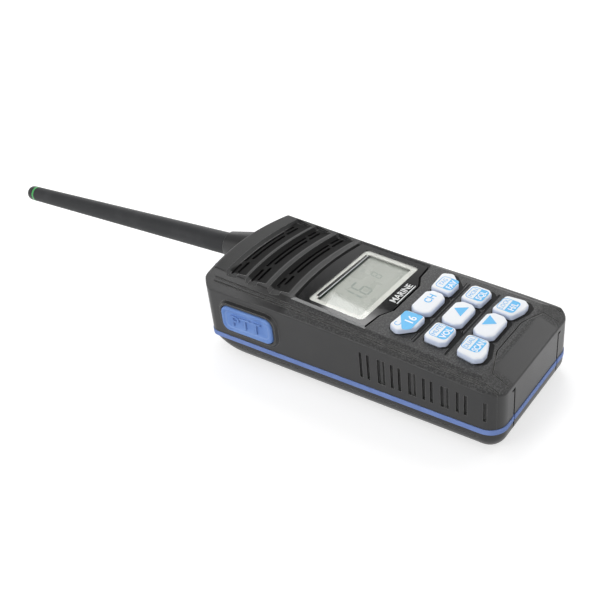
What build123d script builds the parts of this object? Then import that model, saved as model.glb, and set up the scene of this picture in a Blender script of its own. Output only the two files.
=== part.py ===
from build123d import *
from math import asin, cos, degrees, radians, sin, sqrt, tan
import os

# A floating VHF handheld for use on boats, lying on its back. Millimetres.
# +X is the radio's right, +Y runs from the tail to the antenna, +Z comes out of the front.
# The origin is the centre of the flat back. A length called v is measured from the tail end.

# ---- Body ----
head_length = 44.0
half_width = 31.0
wall = 2.3
tail_corner_radius = 7.0
head_corner_radius = 5.0
head_bow = 1.5
face_tilt = 4.75
face_tail_height = 28.4
bevel_run = 5.5
head_bevel_drop = 8.35
tail_bevel_drop = 2.6
shoulder_curve = 2.2
shoulder_radius = 1.0
face_edge_radius = 0.8
tail_slope_run = 9.5
tail_edge_drop = 3.4
rim_margin = 4.2
rim_bow = 4.2
rim_corner_radius = 3.0
rim_set_back = 1.2
rim_run = 48.0
band_low = 7.9
band_high = 10.2
band_proud = 0.25
band_width = 1.4
back_edge_radius = 6.0
head_lift_run = 19.0
head_lift_slope = 1.1
line_width = 0.4
line_depth = 0.3
fit_gap = 0.05
shaft_gap = 0.05
part_gap = 0.1

# ---- Lens and display ----
lens_side = 1.3
lens_length = 38.2
lens_key_gap = 5.9
lens_corner_rise = 3.6
lens_foot_half_width = 15.5
lens_corner_drop = 2.4
lens_sunk = 0.5
lens_thickness = 1.1
lens_gap = 0.3
lens_bevel = 0.9
display_foot = 2.5
display_head = 3.8
display_side = 2.5
display_border = 2.6
display_corner = 2.2
display_ledge = 1.0
window_thickness = 0.4
frame_thickness = 0.6
lcd_depth = 1.95
lcd_thickness = 1.9
lcd_side = 1.7
lcd_foot = 1.4
lcd_head = 3.4

# ---- Keys ----
key_rise = 2.3
key_gap = 0.35
key_flange = 0.55
key_flange_thickness = 0.8
key_travel = 0.8
key_edge_radius = 0.9
key_foot_radius = 2.2
dome_radius = 2.4
dome_height = 0.45
mat_thickness = 1.0
mat_side = 0.4
mat_foot = 4.5
mat_head = 2.8
mat_hole_gap = 0.4
middle_key_half_width = 7.7
key_column_gap = 1.3
outer_key_side = 11.0
key_corner_radius = 1.8
separator_drops = (1.0, 1.85)
separator_side = 9.0
keypad_foot = 14.9
key_pitch = 13.15
key_height = 8.7

# ---- Boards and chassis ----
board_depth = 6.8
board_thickness = 1.6
board_side = 8.6
board_low = 6.2
board_head = 43.2
chassis_wall = 1.2
shield_side = 5.4
shield_low = 34.0
shield_head = 14.8
shield_height = 2.8
shield_wall = 0.4

# ---- Speaker and microphone ----
speaker_drop = 24.0
speaker_radius = 18.5
speaker_wall = 1.2
speaker_depth = 7.0
speaker_floor = 0.9
magnet_radius = 9.0
magnet_depth = 11.0
membrane_overlap = 1.3
membrane_thickness = 0.25
louvre_radius = 128.0
louvre_depth = 1.2
louvre_bevel = 1.6
louvre_ramp = 8.3
louvre_step = 4.4
louvre_drops = (9.9, 20.4, 32.1)
louvre_left_margin = 4.1
louvre_ramp_margin = 6.1
louvre_right_margin = 6.0
slot_width = 1.2
slot_depth = 1.9
slot_rows = (0.9, 3.2)
slot_left_ends = (-24.4, -24.4, -20.8)
slot_right_ends = (20.0, 21.8, 22.6)
slot_struts = ((-15.1, 14.1), (-13.1, 16.3), (-12.7, 16.8))
slot_strut_shifts = (2.8, -1.9)
slot_strut_widths = (2.6, 1.3)
slot_end_shift = 2.2
mic_side = 10.0
mic_drop = 35.4
mic_radius = 2.6
mic_hole_radius = 0.6
mic_height = 2.4

# ---- Push-to-talk button ----
ptt_drop = 25.3
ptt_height = 20.5
ptt_length = 27.0
ptt_width = 12.0
ptt_corner = 3.7
ptt_rise = 2.0
ptt_gap = 0.35
ptt_travel = 1.2
ptt_flange = 1.2
ptt_flange_thickness = 1.0
ptt_rim_rise = 1.2
ptt_rim_width = 0.9
ptt_rim_foot = 2.2
ptt_foot = 1.1
boot_wall = 0.9
ptt_board_depth = 8.2
ptt_board_length = 23.6
ptt_board_width = 12.6
ptt_switch_size = 6.0
ptt_switch_height = 1.75
ptt_edge_radius = 0.9
ptt_board_thickness = 1.0

# ---- Antenna ----
antenna_x = 12.0
antenna_height = 24.8
antenna_lean = 1.9
collar_length = 20.5
collar_base_radius = 10.2
collar_end_radius = 6.3
collar_edge_radius = 0.5
collar_recess = 6.0
whip_base_radius = 5.4
whip_end_radius = 4.0
whip_gap = 0.25
whip_end = 165.2
ring_length = 1.4
antenna_end = 171.9
seal_length = 0.65
socket_radius = 4.6
socket_flange = 1.6
socket_flange_depth = 3.1
socket_tail = 6.0
stud_radius = 2.45
stud_length = 11.0
core_radius = 3.0
core_length = 14.0
lead_radius = 0.9

# ---- Jack and its cap ----
jack_x = -12.0
jack_height = 24.0
jack_boss_radius = 8.2
jack_boss_rise = 0.9
cap_radius = 7.2
cap_length = 5.4
cap_teeth = 20
cap_tooth_radius = 0.62
cap_stem_radius = 4.0
cap_stem_length = 6.0
jack_radius = 5.3
jack_length = 14.0
jack_seal_width = 1.4
jack_seal_thickness = 0.5

# ---- Battery and its bay ----
battery_side = 8.4
battery_low = 9.3
battery_length = 85.4
battery_bottom = 0.0
battery_top = 16.6
battery_roof_gap = 0.4
battery_wall = 1.2
battery_corner = 3.0
battery_travel = 22.0
bay_gap = 0.3
bay_wall = 1.2
cell_height = 12.8
cell_side = 1.0
cell_foot = 15.2
lock_foot = 6.2
lock_head_radius = 4.3
lock_head_height = 2.4
lock_head_sunk = 0.4
lock_slot_width = 1.2
lock_shaft_radius = 1.95
lock_insert_radius = 3.2
lock_insert_length = 3.3
contact_drop = 5.2
contact_pitch = 4.4
contact_count = 4
contact_width = 2.6
contact_length = 4.4
contact_thickness = 0.5
contact_block_width = 18.0
contact_block_length = 5.4
contact_block_height = 3.4
pad_x = 8.0
pad_drop = 14.7
pad_radius = 2.2
seal_low = 12.6
seal_height = 1.4
seal_groove = 0.7
label_half_width = 17.0
label_foot = 27.5
label_head = 23.5
label_depth = 0.4
grip_line_half_width = 9.0
grip_line_foot = 13.5
grip_line_pitch = 2.4
grip_line_count = 4
grip_line_depth = 0.5

# ---- Fasteners ----
screw_side = 4.6
screw_foot = 14.0
screw_middle_drop = 48.0
screw_head_side = 11.5
screw_head_drop = 11.8
screw_radius = 0.95
screw_head_radius = 1.8
screw_head_height = 1.4
screw_head_depth = 1.8
screw_length = 13.0
screw_boss_radius = 2.1
screw_column_radius = 2.7
screw_insert_radius = 1.55
screw_insert_start = 9.0
screw_insert_length = 6.0
clip_spacing = 22.0
clip_drop = 26.0
clip_hole_radius = 1.5
clip_insert_radius = 2.4
clip_insert_length = 6.5
clip_boss_radius = 3.8

# ---- Side grips and tail grooves ----
grip_thin = (57.2, 53.9, 43.4, 40.2, 29.9, 26.7, 16.2, 13.0)
grip_wide = (48.1, 34.8, 21.3)
grip_bottom = 13.8
grip_top_at_tail = 21.9
grip_top_rise = 0.066
grip_depth = 0.9
grip_thin_width = 1.2
grip_wide_width = 3.3
grip_bar_width = 1.1
grip_bar_drop = 0.4
grip_end_v = 5.5
tail_groove_side = 12.2
tail_groove_width = 1.0
tail_groove_depth = 0.7
tail_groove_top = 22.6
tail_groove_bottom = 2.7
tail_hook_length = 1.6

# ---- Fine lines in the casings ----
bevel_line_sides = (3.5, 2.5)
bevel_line_start = 2.0
bevel_line_drop = 6.8
tail_panel_sides = ((9.0, 1.0), (9.5, 7.5), (21.0, 11.3))
back_line_height = 5.6
back_line_start = 8.0
back_line_drop = 8.0

# ---- Places along the body, from the tail end ----
key_rows = tuple(keypad_foot + row * key_pitch for row in (2, 1, 0))
separator_lines = tuple(row_v - drop for row_v, drop in zip(key_rows, separator_drops))
lens_low_middle = key_rows[0] + key_height + lens_key_gap
lens_high_middle = lens_low_middle + lens_length
body_length = lens_high_middle + head_length
lens_low = lens_low_middle + lens_corner_rise
lens_high = lens_high_middle - lens_corner_drop
display_low = lens_low + display_foot
display_high = lens_high - display_head
lcd_low = display_low + lcd_foot
lcd_high = display_high - lcd_head
mat_low = keypad_foot - mat_foot
mat_high = lens_low_middle - mat_head
board_high = body_length - board_head
shield_high = board_high - shield_head
speaker_v = body_length - speaker_drop
louvre_ridges = tuple(body_length - drop for drop in louvre_drops)
mic_v = body_length - mic_drop
ptt_v = body_length - ptt_drop
clip_v = body_length - clip_drop
rim_start_v = body_length - rim_run
bevel_line_end = body_length - bevel_line_drop
back_line_end = body_length - back_line_drop
battery_high = battery_low + battery_length
cell_low = battery_low + cell_foot
lock_v = battery_low + lock_foot
contact_v = battery_high - contact_drop
pad_v = battery_high - pad_drop
label_low = battery_low + label_foot
label_high = battery_high - label_head
grip_line_v = battery_low + grip_line_foot

# ---- Places across the body, from its middle ----
face_half_width = half_width - bevel_run
rim_half_width = half_width - rim_margin
lens_half_width = face_half_width - lens_side
display_half_width = lens_half_width - display_side
lcd_half_width = display_half_width - lcd_side
outer_key_start = middle_key_half_width + key_column_gap
outer_key_end = half_width - outer_key_side
separator_half_width = half_width - separator_side
board_half_width = half_width - board_side
mat_half_width = board_half_width - mat_side
shield_half_width = board_half_width - shield_side
membrane_radius = speaker_radius + membrane_overlap
louvre_left = half_width - louvre_left_margin
louvre_left_ramp = half_width - louvre_ramp_margin
louvre_right = half_width - louvre_right_margin
mic_x = -(half_width - mic_side)
battery_half_width = half_width - battery_side
cell_width = battery_half_width - battery_wall - cell_side
tail_groove_x = half_width - tail_groove_side
bevel_line_places = tuple(half_width - side for side in bevel_line_sides)
tail_panel_corners = tuple((half_width - side, v) for side, v in tail_panel_sides)
screw_places = (
    (half_width - screw_side, screw_foot),
    (half_width - screw_side, body_length - screw_middle_drop),
    (half_width - screw_head_side, body_length - screw_head_drop),
)

# ---- Planes and levels worked out from the sizes ----
tail_y = -body_length / 2
head_y = body_length / 2
rim_end = head_y - rim_set_back
tilt = radians(face_tilt)
head_shoulder_height = face_tail_height + body_length * tan(tilt) - head_bevel_drop
tail_shoulder_height = face_tail_height - tail_bevel_drop
tail_edge_height = face_tail_height - tail_edge_drop
lean = radians(antenna_lean)
face = Plane(origin=(0, tail_y, face_tail_height), x_dir=(1, 0, 0), z_dir=(0, -sin(tilt), cos(tilt)))
face_middle = Plane(face.from_local_coords((0, -tail_y, 0)), x_dir=face.x_dir, z_dir=face.z_dir)
mast = Plane(origin=(antenna_x, head_y, antenna_height), x_dir=(1, 0, 0), z_dir=(0, cos(lean), -sin(lean)))
jack = Plane(origin=(jack_x, head_y, jack_height), x_dir=(1, 0, 0), z_dir=(0, 1, 0))
ptt = Plane(origin=(-half_width, tail_y + ptt_v, ptt_height), x_dir=(0, -1, 0), z_dir=(-1, 0, 0))
back = Plane(origin=(0, tail_y, 0), x_dir=(1, 0, 0), z_dir=(0, 0, 1))
lens_floor = lens_sunk + lens_thickness + fit_gap
flange_top = wall + part_gap
flange_bottom = flange_top + key_flange_thickness
mat_top = flange_bottom + key_travel + part_gap
dome_top = board_depth - dome_height
key_foot_end = dome_top - key_travel - part_gap
board_bottom = board_depth + board_thickness
recess_start = collar_length - collar_recess
stud_start = recess_start - stud_length
whip_start = recess_start + part_gap + seal_length + fit_gap
battery_lid_low = battery_top - battery_wall
bay_ceiling = battery_top + battery_roof_gap
tub_top = bay_ceiling + bay_wall
chassis_low = tub_top + fit_gap
chassis_plate_top = chassis_low + chassis_wall
lock_boss_top = bay_ceiling + lock_insert_length + bay_wall / 2
screw_seat = screw_head_depth + screw_head_height
band_inset = band_width - band_proud
seal_inset = band_inset + fit_gap
ring_start = whip_end + fit_gap
tip_start = ring_start + ring_length + fit_gap

os.makedirs("parts", exist_ok=True)


def face_height(v, depth=0.0):
    """Height of the front face, or of a level at a depth below it, at v."""
    return face_tail_height + v * tan(tilt) - depth / cos(tilt)


def shoulder_height(v):
    """Height at v of the edge where the side wall turns into the bevel beside the face."""
    along = max(1 - v / body_length, 0)
    return head_shoulder_height - (head_shoulder_height - tail_shoulder_height) * along**shoulder_curve


def plan_outline(inset):
    """Outline of the body seen from the front, moved inwards by inset."""
    side = half_width - inset
    corner_y = head_y - head_bow - inset
    with BuildSketch() as outline:
        with BuildLine():
            Polyline((-side, corner_y), (-side, tail_y + inset), (side, tail_y + inset), (side, corner_y))
            ThreePointArc((side, corner_y), (0, head_y - inset), (-side, corner_y))
        make_face()
        fillet(outline.vertices().group_by(Axis.Y)[0], radius=tail_corner_radius - inset)
        fillet(outline.vertices().group_by(Axis.Y)[-1], radius=head_corner_radius - inset)
    return outline.sketch


def rim_outline(grow):
    """Outline of the flat face at the head end, grown by a margin: its end is a flat arc."""
    half = rim_half_width + grow
    radius = (rim_half_width**2 + rim_bow**2) / (2 * rim_bow)
    arc_centre = rim_end - radius
    corner_y = arc_centre + sqrt((radius + grow) ** 2 - half**2)
    with BuildSketch() as outline:
        with BuildLine():
            Polyline((-half, corner_y), (-half, -body_length - grow), (half, -body_length - grow), (half, corner_y))
            ThreePointArc((half, corner_y), (0, rim_end + grow), (-half, corner_y))
        make_face()
        fillet(outline.vertices().group_by(Axis.Y)[-1], radius=rim_corner_radius + grow)
    return outline.sketch


def shell_form(inset, floor_height):
    """Solid of the front casing above floor_height, its other faces moved inwards by inset."""
    outline = plan_outline(inset)
    side = half_width - inset
    edge = face_half_width - inset * 0.6
    rim_shift = inset * (sqrt(2) - 1)
    tall = face_height(body_length)
    rim_back = rim_start_v + tail_y
    slope = (face_height(tail_slope_run) - tail_edge_height) / tail_slope_run
    slope_drop = inset * sqrt(1 + slope * slope)
    slope_end = 3 * tail_slope_run
    rim_top = rim_outline(-rim_shift)
    rim_foot = rim_outline(tall - rim_shift)
    # the rim at the head end falls away at 45 degrees, and behind it the side bevels take over
    with BuildPart() as rim:
        with BuildSketch(face_middle.offset(-inset)):
            add(rim_top)
        with BuildSketch(face_middle.offset(-inset - tall)):
            add(rim_foot)
        loft(ruled=True)
        with BuildSketch(Plane.XZ.offset(-rim_back)):
            Rectangle(4 * half_width, 4 * tall)
        extrude(amount=body_length)
    with BuildPart() as form:
        for share in (-0.04, 0.14, 0.3, 0.48, 0.7, 1.04):
            v = share * body_length
            with BuildSketch(Plane.XZ.offset(-(tail_y + v))):
                Polygon(
                    (-side, floor_height),
                    (-side, shoulder_height(v) - inset / 2),
                    (-edge, face_height(v, inset)),
                    (edge, face_height(v, inset)),
                    (side, shoulder_height(v) - inset / 2),
                    (side, floor_height),
                    align=None,
                )
        loft(ruled=True)
        with BuildSketch(Plane.XY.offset(floor_height)):
            add(outline)
        extrude(amount=tall, mode=Mode.INTERSECT)
        add(rim.part, mode=Mode.INTERSECT)
        # the slope at the tail end
        with BuildSketch(Plane.YZ):
            Polygon(
                (tail_y - slope_end, tail_edge_height - slope_drop - slope * slope_end),
                (tail_y + slope_end, tail_edge_height - slope_drop + slope * slope_end),
                (tail_y + slope_end, body_length),
                (tail_y - slope_end, body_length),
                align=None,
            )
        extrude(amount=half_width, both=True, mode=Mode.SUBTRACT)
    return form.part


def back_form(inset, roof_height):
    """Solid of the back casing below roof_height, its outer faces moved inwards by inset."""
    side = half_width - inset
    low_y = tail_y + inset
    high_y = head_y - inset
    lift_y = head_y - head_lift_run
    tall = 2 * band_low
    with BuildPart() as form:
        # seen from the side, the back curves up at the head end
        with BuildSketch(Plane.YZ):
            with BuildLine():
                Polyline(
                    (lift_y, inset),
                    (low_y, inset),
                    (low_y, tall),
                    (high_y + band_low / head_lift_slope, tall),
                    (high_y, band_low),
                )
                Spline((high_y, band_low), (lift_y, inset), tangents=((-1, -head_lift_slope), (-1, 0)))
            make_face()
        extrude(amount=side, both=True)
        upright_edges = form.edges().filter_by(Axis.Z)
        fillet(upright_edges.group_by(Axis.Y)[0], radius=tail_corner_radius - inset)
        # the bottom edges round into the walls at the tail and along both sides
        low_edges = form.edges().filter_by(lambda edge: edge.center().Z < band_low)
        low_edges = low_edges.filter_by(Axis.Z, reverse=True)
        tail_edges = low_edges.filter_by(lambda edge: edge.center().Y < low_y + tail_corner_radius)
        side_edges = low_edges.filter_by(lambda edge: abs(edge.center().X) > side - part_gap)
        fillet(ShapeList(set(tail_edges + side_edges)), radius=back_edge_radius - inset)
        with BuildSketch():
            add(plan_outline(inset))
        extrude(amount=roof_height, mode=Mode.INTERSECT)
    return form.part


# ---- Key outlines ----
key_names = {
    (-1, 0): "key_16",
    (0, 0): "key_channel",
    (1, 0): "key_favourite",
    (-1, 1): "key_volume",
    (0, 1): "key_up",
    (1, 1): "key_squelch",
    (-1, 2): "key_scan",
    (0, 2): "key_down",
    (1, 2): "key_power_level",
}


def key_outline(column, row, grow):
    """Outline of a keycap, grown by a margin. column is -1, 0 or 1; row 0 is next to the display."""
    low = key_rows[row]
    high = low + key_height
    start = outer_key_start
    end = outer_key_end
    half = middle_key_half_width
    outer_shapes = (
        ((start, low), (end - 3.2, low), (end + 2.2, low + 5.2), (end + 0.3, high + 0.8), (start, high)),
        ((start, low), (end - 1.8, low - 0.5), (end, low + 1.4), (end, high - 1.4), (end - 1.4, high), (start, high)),
        (
            (start, low),
            (end - 4.4, low - 2.3),
            (end - 0.8, low - 2.3),
            (end + 1.4, low),
            (end + 0.4, high - 1.0),
            (start, high),
        ),
    )
    middle_shape = (
        (-half + 2.2, low),
        (half - 2.2, low),
        (half, low + 2.4),
        (half, high - 2.4),
        (half - 2.2, high),
        (-half + 2.2, high),
        (-half, high - 2.4),
        (-half, low + 2.4),
    )
    points = middle_shape if column == 0 else [(x * column, v) for x, v in outer_shapes[row]]
    with BuildSketch() as outline:
        Polygon(*points, align=None)
        fillet(outline.vertices(), radius=key_corner_radius)
        if grow > 0:
            offset(amount=grow)
    return outline.sketch


def key_centre(column, row):
    """Point on the front face over the dome of a key."""
    return (outer_key_start + outer_key_end) / 2 * column, key_rows[row] + key_height / 2


# ---- Lens and display outlines ----
def lens_outline(grow):
    """Outline of the lens panel, grown by a margin."""
    side = lens_half_width + grow
    with BuildSketch() as outline:
        with BuildLine():
            Polyline(
                (-side, lens_high + grow),
                (-side, lens_low - grow),
                (-lens_foot_half_width, lens_low - 0.8 - grow),
                (-lens_foot_half_width + 5.7, lens_low_middle - grow),
                (lens_foot_half_width - 5.7, lens_low_middle - grow),
                (lens_foot_half_width, lens_low - 0.8 - grow),
                (side, lens_low - grow),
                (side, lens_high + grow),
            )
            ThreePointArc((side, lens_high + grow), (0, lens_high_middle + grow), (-side, lens_high + grow))
        make_face()
    return outline.sketch


def display_outline(inset):
    """Outline of the display opening, moved inwards by inset."""
    with BuildSketch() as outline:
        with Locations((0, (display_low + display_high) / 2)):
            RectangleRounded(
                2 * (display_half_width - inset),
                display_high - display_low - 2 * inset,
                display_corner - inset * 0.6,
            )
    return outline.sketch


# ---- Speaker louvres: three arched steps, each with two rows of slots at its foot ----
def louvre_cut(ridge_v):
    """Wedge with an arched ridge, taken out of the front face. Its foot reaches further to the left."""
    centre = face.from_local_coords((0, ridge_v - louvre_radius, 0))
    step = louvre_radius - louvre_step
    step_depth = -louvre_depth * 0.8
    ramp_end = louvre_radius - louvre_ramp
    foot = (
        (louvre_radius + louvre_bevel, louvre_depth),
        (louvre_radius + louvre_bevel, 0.0),
        (louvre_radius, -louvre_depth),
        (step, step_depth),
        (step, louvre_depth),
    )
    ramp = ((step, louvre_depth), (step, step_depth), (ramp_end, 0.0), (ramp_end, louvre_depth))
    with BuildPart() as cut:
        for profile, left in ((foot, louvre_left), (ramp, louvre_left_ramp)):
            for turn, reach in ((face.z_dir, left), (-face.z_dir, louvre_right)):
                with BuildSketch(Plane(origin=centre, x_dir=face.y_dir, z_dir=face.x_dir)):
                    Polygon(*profile, align=None)
                revolve(axis=Axis(centre, turn), revolution_arc=degrees(asin(reach / louvre_radius)))
    return cut.part


def slot_arcs():
    """Centre lines of all the louvre slots, each row broken by two slanting struts."""
    left_half, right_half = (width / 2 for width in slot_strut_widths)
    arcs = []
    for band, ridge_v in enumerate(louvre_ridges):
        for row, drop in enumerate(slot_rows):
            left_strut = slot_struts[band][0] + row * slot_strut_shifts[0]
            right_strut = slot_struts[band][1] + row * slot_strut_shifts[1]
            left_end = slot_left_ends[band] + row * slot_end_shift
            for low_x, high_x in (
                (left_end, left_strut - left_half),
                (left_strut + left_half, right_strut - right_half),
                (right_strut + right_half, slot_right_ends[band]),
            ):
                start = degrees(asin((low_x + slot_width / 2) / louvre_radius))
                end = degrees(asin((high_x - slot_width / 2) / louvre_radius))
                centre = (0, ridge_v - drop - louvre_radius)
                arcs.append(CenterArc(centre, louvre_radius, 90 - end, end - start))
    return arcs


# ---- Grip slots in both sides ----
with BuildPart() as grip_cuts:
    for v, width in (
        *((v, grip_thin_width) for v in grip_thin),
        *((v, grip_wide_width) for v in grip_wide),
        (grip_end_v, grip_thin_width),
    ):
        grip_top = grip_top_at_tail + grip_top_rise * v
        with BuildSketch(Plane.YZ):
            with Locations((tail_y + v, (grip_bottom + grip_top) / 2)):
                Rectangle(width, grip_top - grip_bottom)
    extrude(amount=half_width + 1, both=True)
    Box(
        2 * (half_width - grip_depth),
        body_length,
        4 * half_width,
        mode=Mode.SUBTRACT,
    )
    for v in grip_wide:
        with BuildSketch(Plane.YZ):
            with Locations((tail_y + v, half_width / 2)):
                Rectangle(grip_bar_width, 2 * half_width)
    extrude(amount=half_width - grip_bar_drop, both=True, mode=Mode.SUBTRACT)

# ---- Two grooves down the tail end, each with a short hook at its top ----
with BuildPart() as tail_grooves:
    for side in (-1, 1):
        with BuildSketch(Plane.XZ.offset(-tail_y + 1)):
            with Locations((side * tail_groove_x, (tail_groove_bottom + tail_groove_top) / 2)):
                Rectangle(tail_groove_width, tail_groove_top - tail_groove_bottom)
            with Locations((side * (tail_groove_x + tail_hook_length / 2), tail_groove_top)):
                Rectangle(tail_hook_length + tail_groove_width, tail_groove_width)
    extrude(amount=-(tail_groove_depth + 1))

# ---- Fine lines down both bevels and round the panel at the tail end, all of one depth ----
line_floor = shell_form(line_depth, band_high)

with BuildPart() as panel_lines:
    with BuildSketch(back.offset(band_high)):
        with BuildLine():
            for x in bevel_line_places:
                Line((-x, bevel_line_start), (-x, bevel_line_end))
                Line((x, bevel_line_start), (x, bevel_line_end))
            Polyline(
                *((-x, v) for x, v in tail_panel_corners),
                *((x, v) for x, v in reversed(tail_panel_corners)),
            )
        trace(line_width=line_width)
    extrude(amount=face_height(body_length))
    add(line_floor, mode=Mode.SUBTRACT)

# ---- Front casing, moulded in one piece with the antenna collar and the jack boss ----
sharp_skin = shell_form(0, band_high)

with BuildPart() as front_skin:
    add(sharp_skin)
    walls = front_skin.faces().filter_by(lambda side: abs(side.normal_at().Z) < 0.02)
    shoulders = walls.edges().filter_by(lambda edge: abs(edge.tangent_at(0.5).Z) < 0.9)
    fillet(shoulders.filter_by(lambda edge: edge.center().Z > 2 * band_high), radius=shoulder_radius)
    fillet(front_skin.faces().sort_by(Axis(face.origin, face.z_dir))[-1].edges(), radius=face_edge_radius)

front_hollow = shell_form(wall, 0)
slots = slot_arcs()
louvres = [louvre_cut(ridge_v) for ridge_v in louvre_ridges]
lens_rim = lens_outline(lens_gap + lens_bevel)
lens_seat = lens_outline(lens_gap)
lens_face = lens_outline(0)
ledge_opening = display_outline(display_ledge)
key_openings = [key_outline(column, row, key_gap) for column, row in key_names]
key_flanges = {place: key_outline(*place, key_flange) for place in key_names}
key_faces = {place: key_outline(*place, 0) for place in key_names}

with BuildPart() as case_posts:
    for x, v in screw_places:
        with BuildSketch(back.offset(band_low + fit_gap)):
            with Locations((x, v), (-x, v)):
                Circle(screw_boss_radius)
    extrude(amount=face_height(body_length))
    with BuildSketch(Plane.XY):
        add(plan_outline(wall / 2))
    extrude(amount=face_height(body_length), mode=Mode.INTERSECT)
    add(shell_form(wall / 2, 0), mode=Mode.INTERSECT)

with BuildPart() as front_shell:
    add(front_skin.part)
    with BuildSketch(mast.offset(-wall)):
        Circle(collar_base_radius)
    with BuildSketch(mast.offset(collar_length)):
        Circle(collar_end_radius)
    loft()
    fillet(front_shell.faces().sort_by(Axis.Y)[-1].edges(), radius=collar_edge_radius)
    with BuildSketch(jack.offset(-wall)):
        Circle(jack_boss_radius)
    extrude(amount=wall + jack_boss_rise)
    # raised frame round the push-to-talk button, sunk a little so that it meets the wall
    for rise, grow in ((-0.4, ptt_rim_foot + 0.4), (ptt_rim_rise, ptt_rim_width + ptt_gap)):
        with BuildSketch(ptt.offset(rise)):
            RectangleRounded(ptt_length + 2 * grow, ptt_width + 2 * grow, ptt_corner + grow)
    loft()
    add(front_hollow, mode=Mode.SUBTRACT)
    add(case_posts.part)
    for cut in louvres:
        add(cut, mode=Mode.SUBTRACT)
    # slots: blind near the edge, open over the speaker
    for deep, reach in ((slot_depth, 2 * half_width), (2 * wall, membrane_radius - part_gap)):
        with BuildSketch(face):
            for line in slots:
                SlotArc(line, slot_width)
            with Locations((0, speaker_v)):
                Circle(reach, mode=Mode.INTERSECT)
        extrude(amount=-deep, mode=Mode.SUBTRACT)
    with BuildSketch(face):
        with Locations((mic_x, mic_v)):
            Circle(mic_hole_radius)
    extrude(amount=-2 * wall, mode=Mode.SUBTRACT)
    # recess of the lens panel: a bevelled edge, a seat and the display opening
    with BuildSketch(face):
        add(lens_rim)
    with BuildSketch(face.offset(-lens_bevel)):
        add(lens_seat)
    loft(mode=Mode.SUBTRACT)
    with BuildSketch(face):
        add(lens_seat)
    extrude(amount=-lens_floor, mode=Mode.SUBTRACT)
    with BuildSketch(face):
        add(ledge_opening)
    extrude(amount=-2 * wall, mode=Mode.SUBTRACT)
    for opening in key_openings:
        with BuildSketch(face):
            add(opening)
    extrude(amount=-2 * wall, mode=Mode.SUBTRACT)
    # fine lines between the key rows
    with BuildSketch(face):
        with BuildLine():
            for v in separator_lines:
                Polyline(
                    (-separator_half_width, v),
                    (-middle_key_half_width - 1, v),
                    (-middle_key_half_width + 1, v + 0.8),
                    (middle_key_half_width - 1, v + 0.8),
                    (middle_key_half_width + 1, v),
                    (separator_half_width, v),
                )
        trace(line_width=line_width)
    extrude(amount=-line_depth, mode=Mode.SUBTRACT)
    # push-to-talk opening, antenna socket bore and recess, jack bore
    with BuildSketch(ptt.offset(ptt_rim_rise + 1)):
        RectangleRounded(ptt_length + 2 * ptt_gap, ptt_width + 2 * ptt_gap, ptt_corner + ptt_gap)
    extrude(amount=-(ptt_rim_rise + 2 * wall), mode=Mode.SUBTRACT)
    with BuildSketch(mast.offset(-2 * wall)):
        Circle(socket_radius + fit_gap)
    extrude(amount=2 * wall + recess_start, mode=Mode.SUBTRACT)
    with BuildSketch(mast.offset(recess_start)):
        Circle(whip_base_radius + whip_gap)
    extrude(amount=2 * collar_recess, mode=Mode.SUBTRACT)
    with BuildSketch(jack.offset(-2 * wall)):
        Circle(jack_radius + fit_gap)
    extrude(amount=4 * wall, mode=Mode.SUBTRACT)
    for x, v in screw_places:
        with BuildSketch(back.offset(band_low)):
            with Locations((x, v), (-x, v)):
                Circle(screw_insert_radius + fit_gap)
    extrude(amount=screw_insert_start - band_low + screw_insert_length + fit_gap, mode=Mode.SUBTRACT)
    for x, v in screw_places:
        with BuildSketch(back.offset(band_low)):
            with Locations((x, v), (-x, v)):
                Circle(screw_radius + part_gap)
    extrude(amount=screw_seat + screw_length + part_gap - band_low, mode=Mode.SUBTRACT)
    add(grip_cuts.part, mode=Mode.SUBTRACT)
    add(tail_grooves.part, mode=Mode.SUBTRACT)
    add(panel_lines.part, mode=Mode.SUBTRACT)
front_shell.part.label = "front_shell"
export_step(front_shell.part, "parts/front_shell.step")

# ---- Back casing with the battery bay ----
back_skin = back_form(0, band_low)
back_hollow = back_form(wall, band_low + 1)
bay_half_width = battery_half_width + bay_gap
bay_half_length = (battery_high - battery_low) / 2 + bay_gap
bay_middle = (battery_high + battery_low) / 2
bay_corner = battery_corner + bay_gap
back_line_middle = (back_line_start + back_line_end) / 2

with BuildPart() as back_columns:
    for x, v in screw_places:
        with BuildSketch(back):
            with Locations((x, v), (-x, v)):
                Circle(screw_column_radius)
    extrude(amount=band_low)
    add(back_skin, mode=Mode.INTERSECT)

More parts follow.
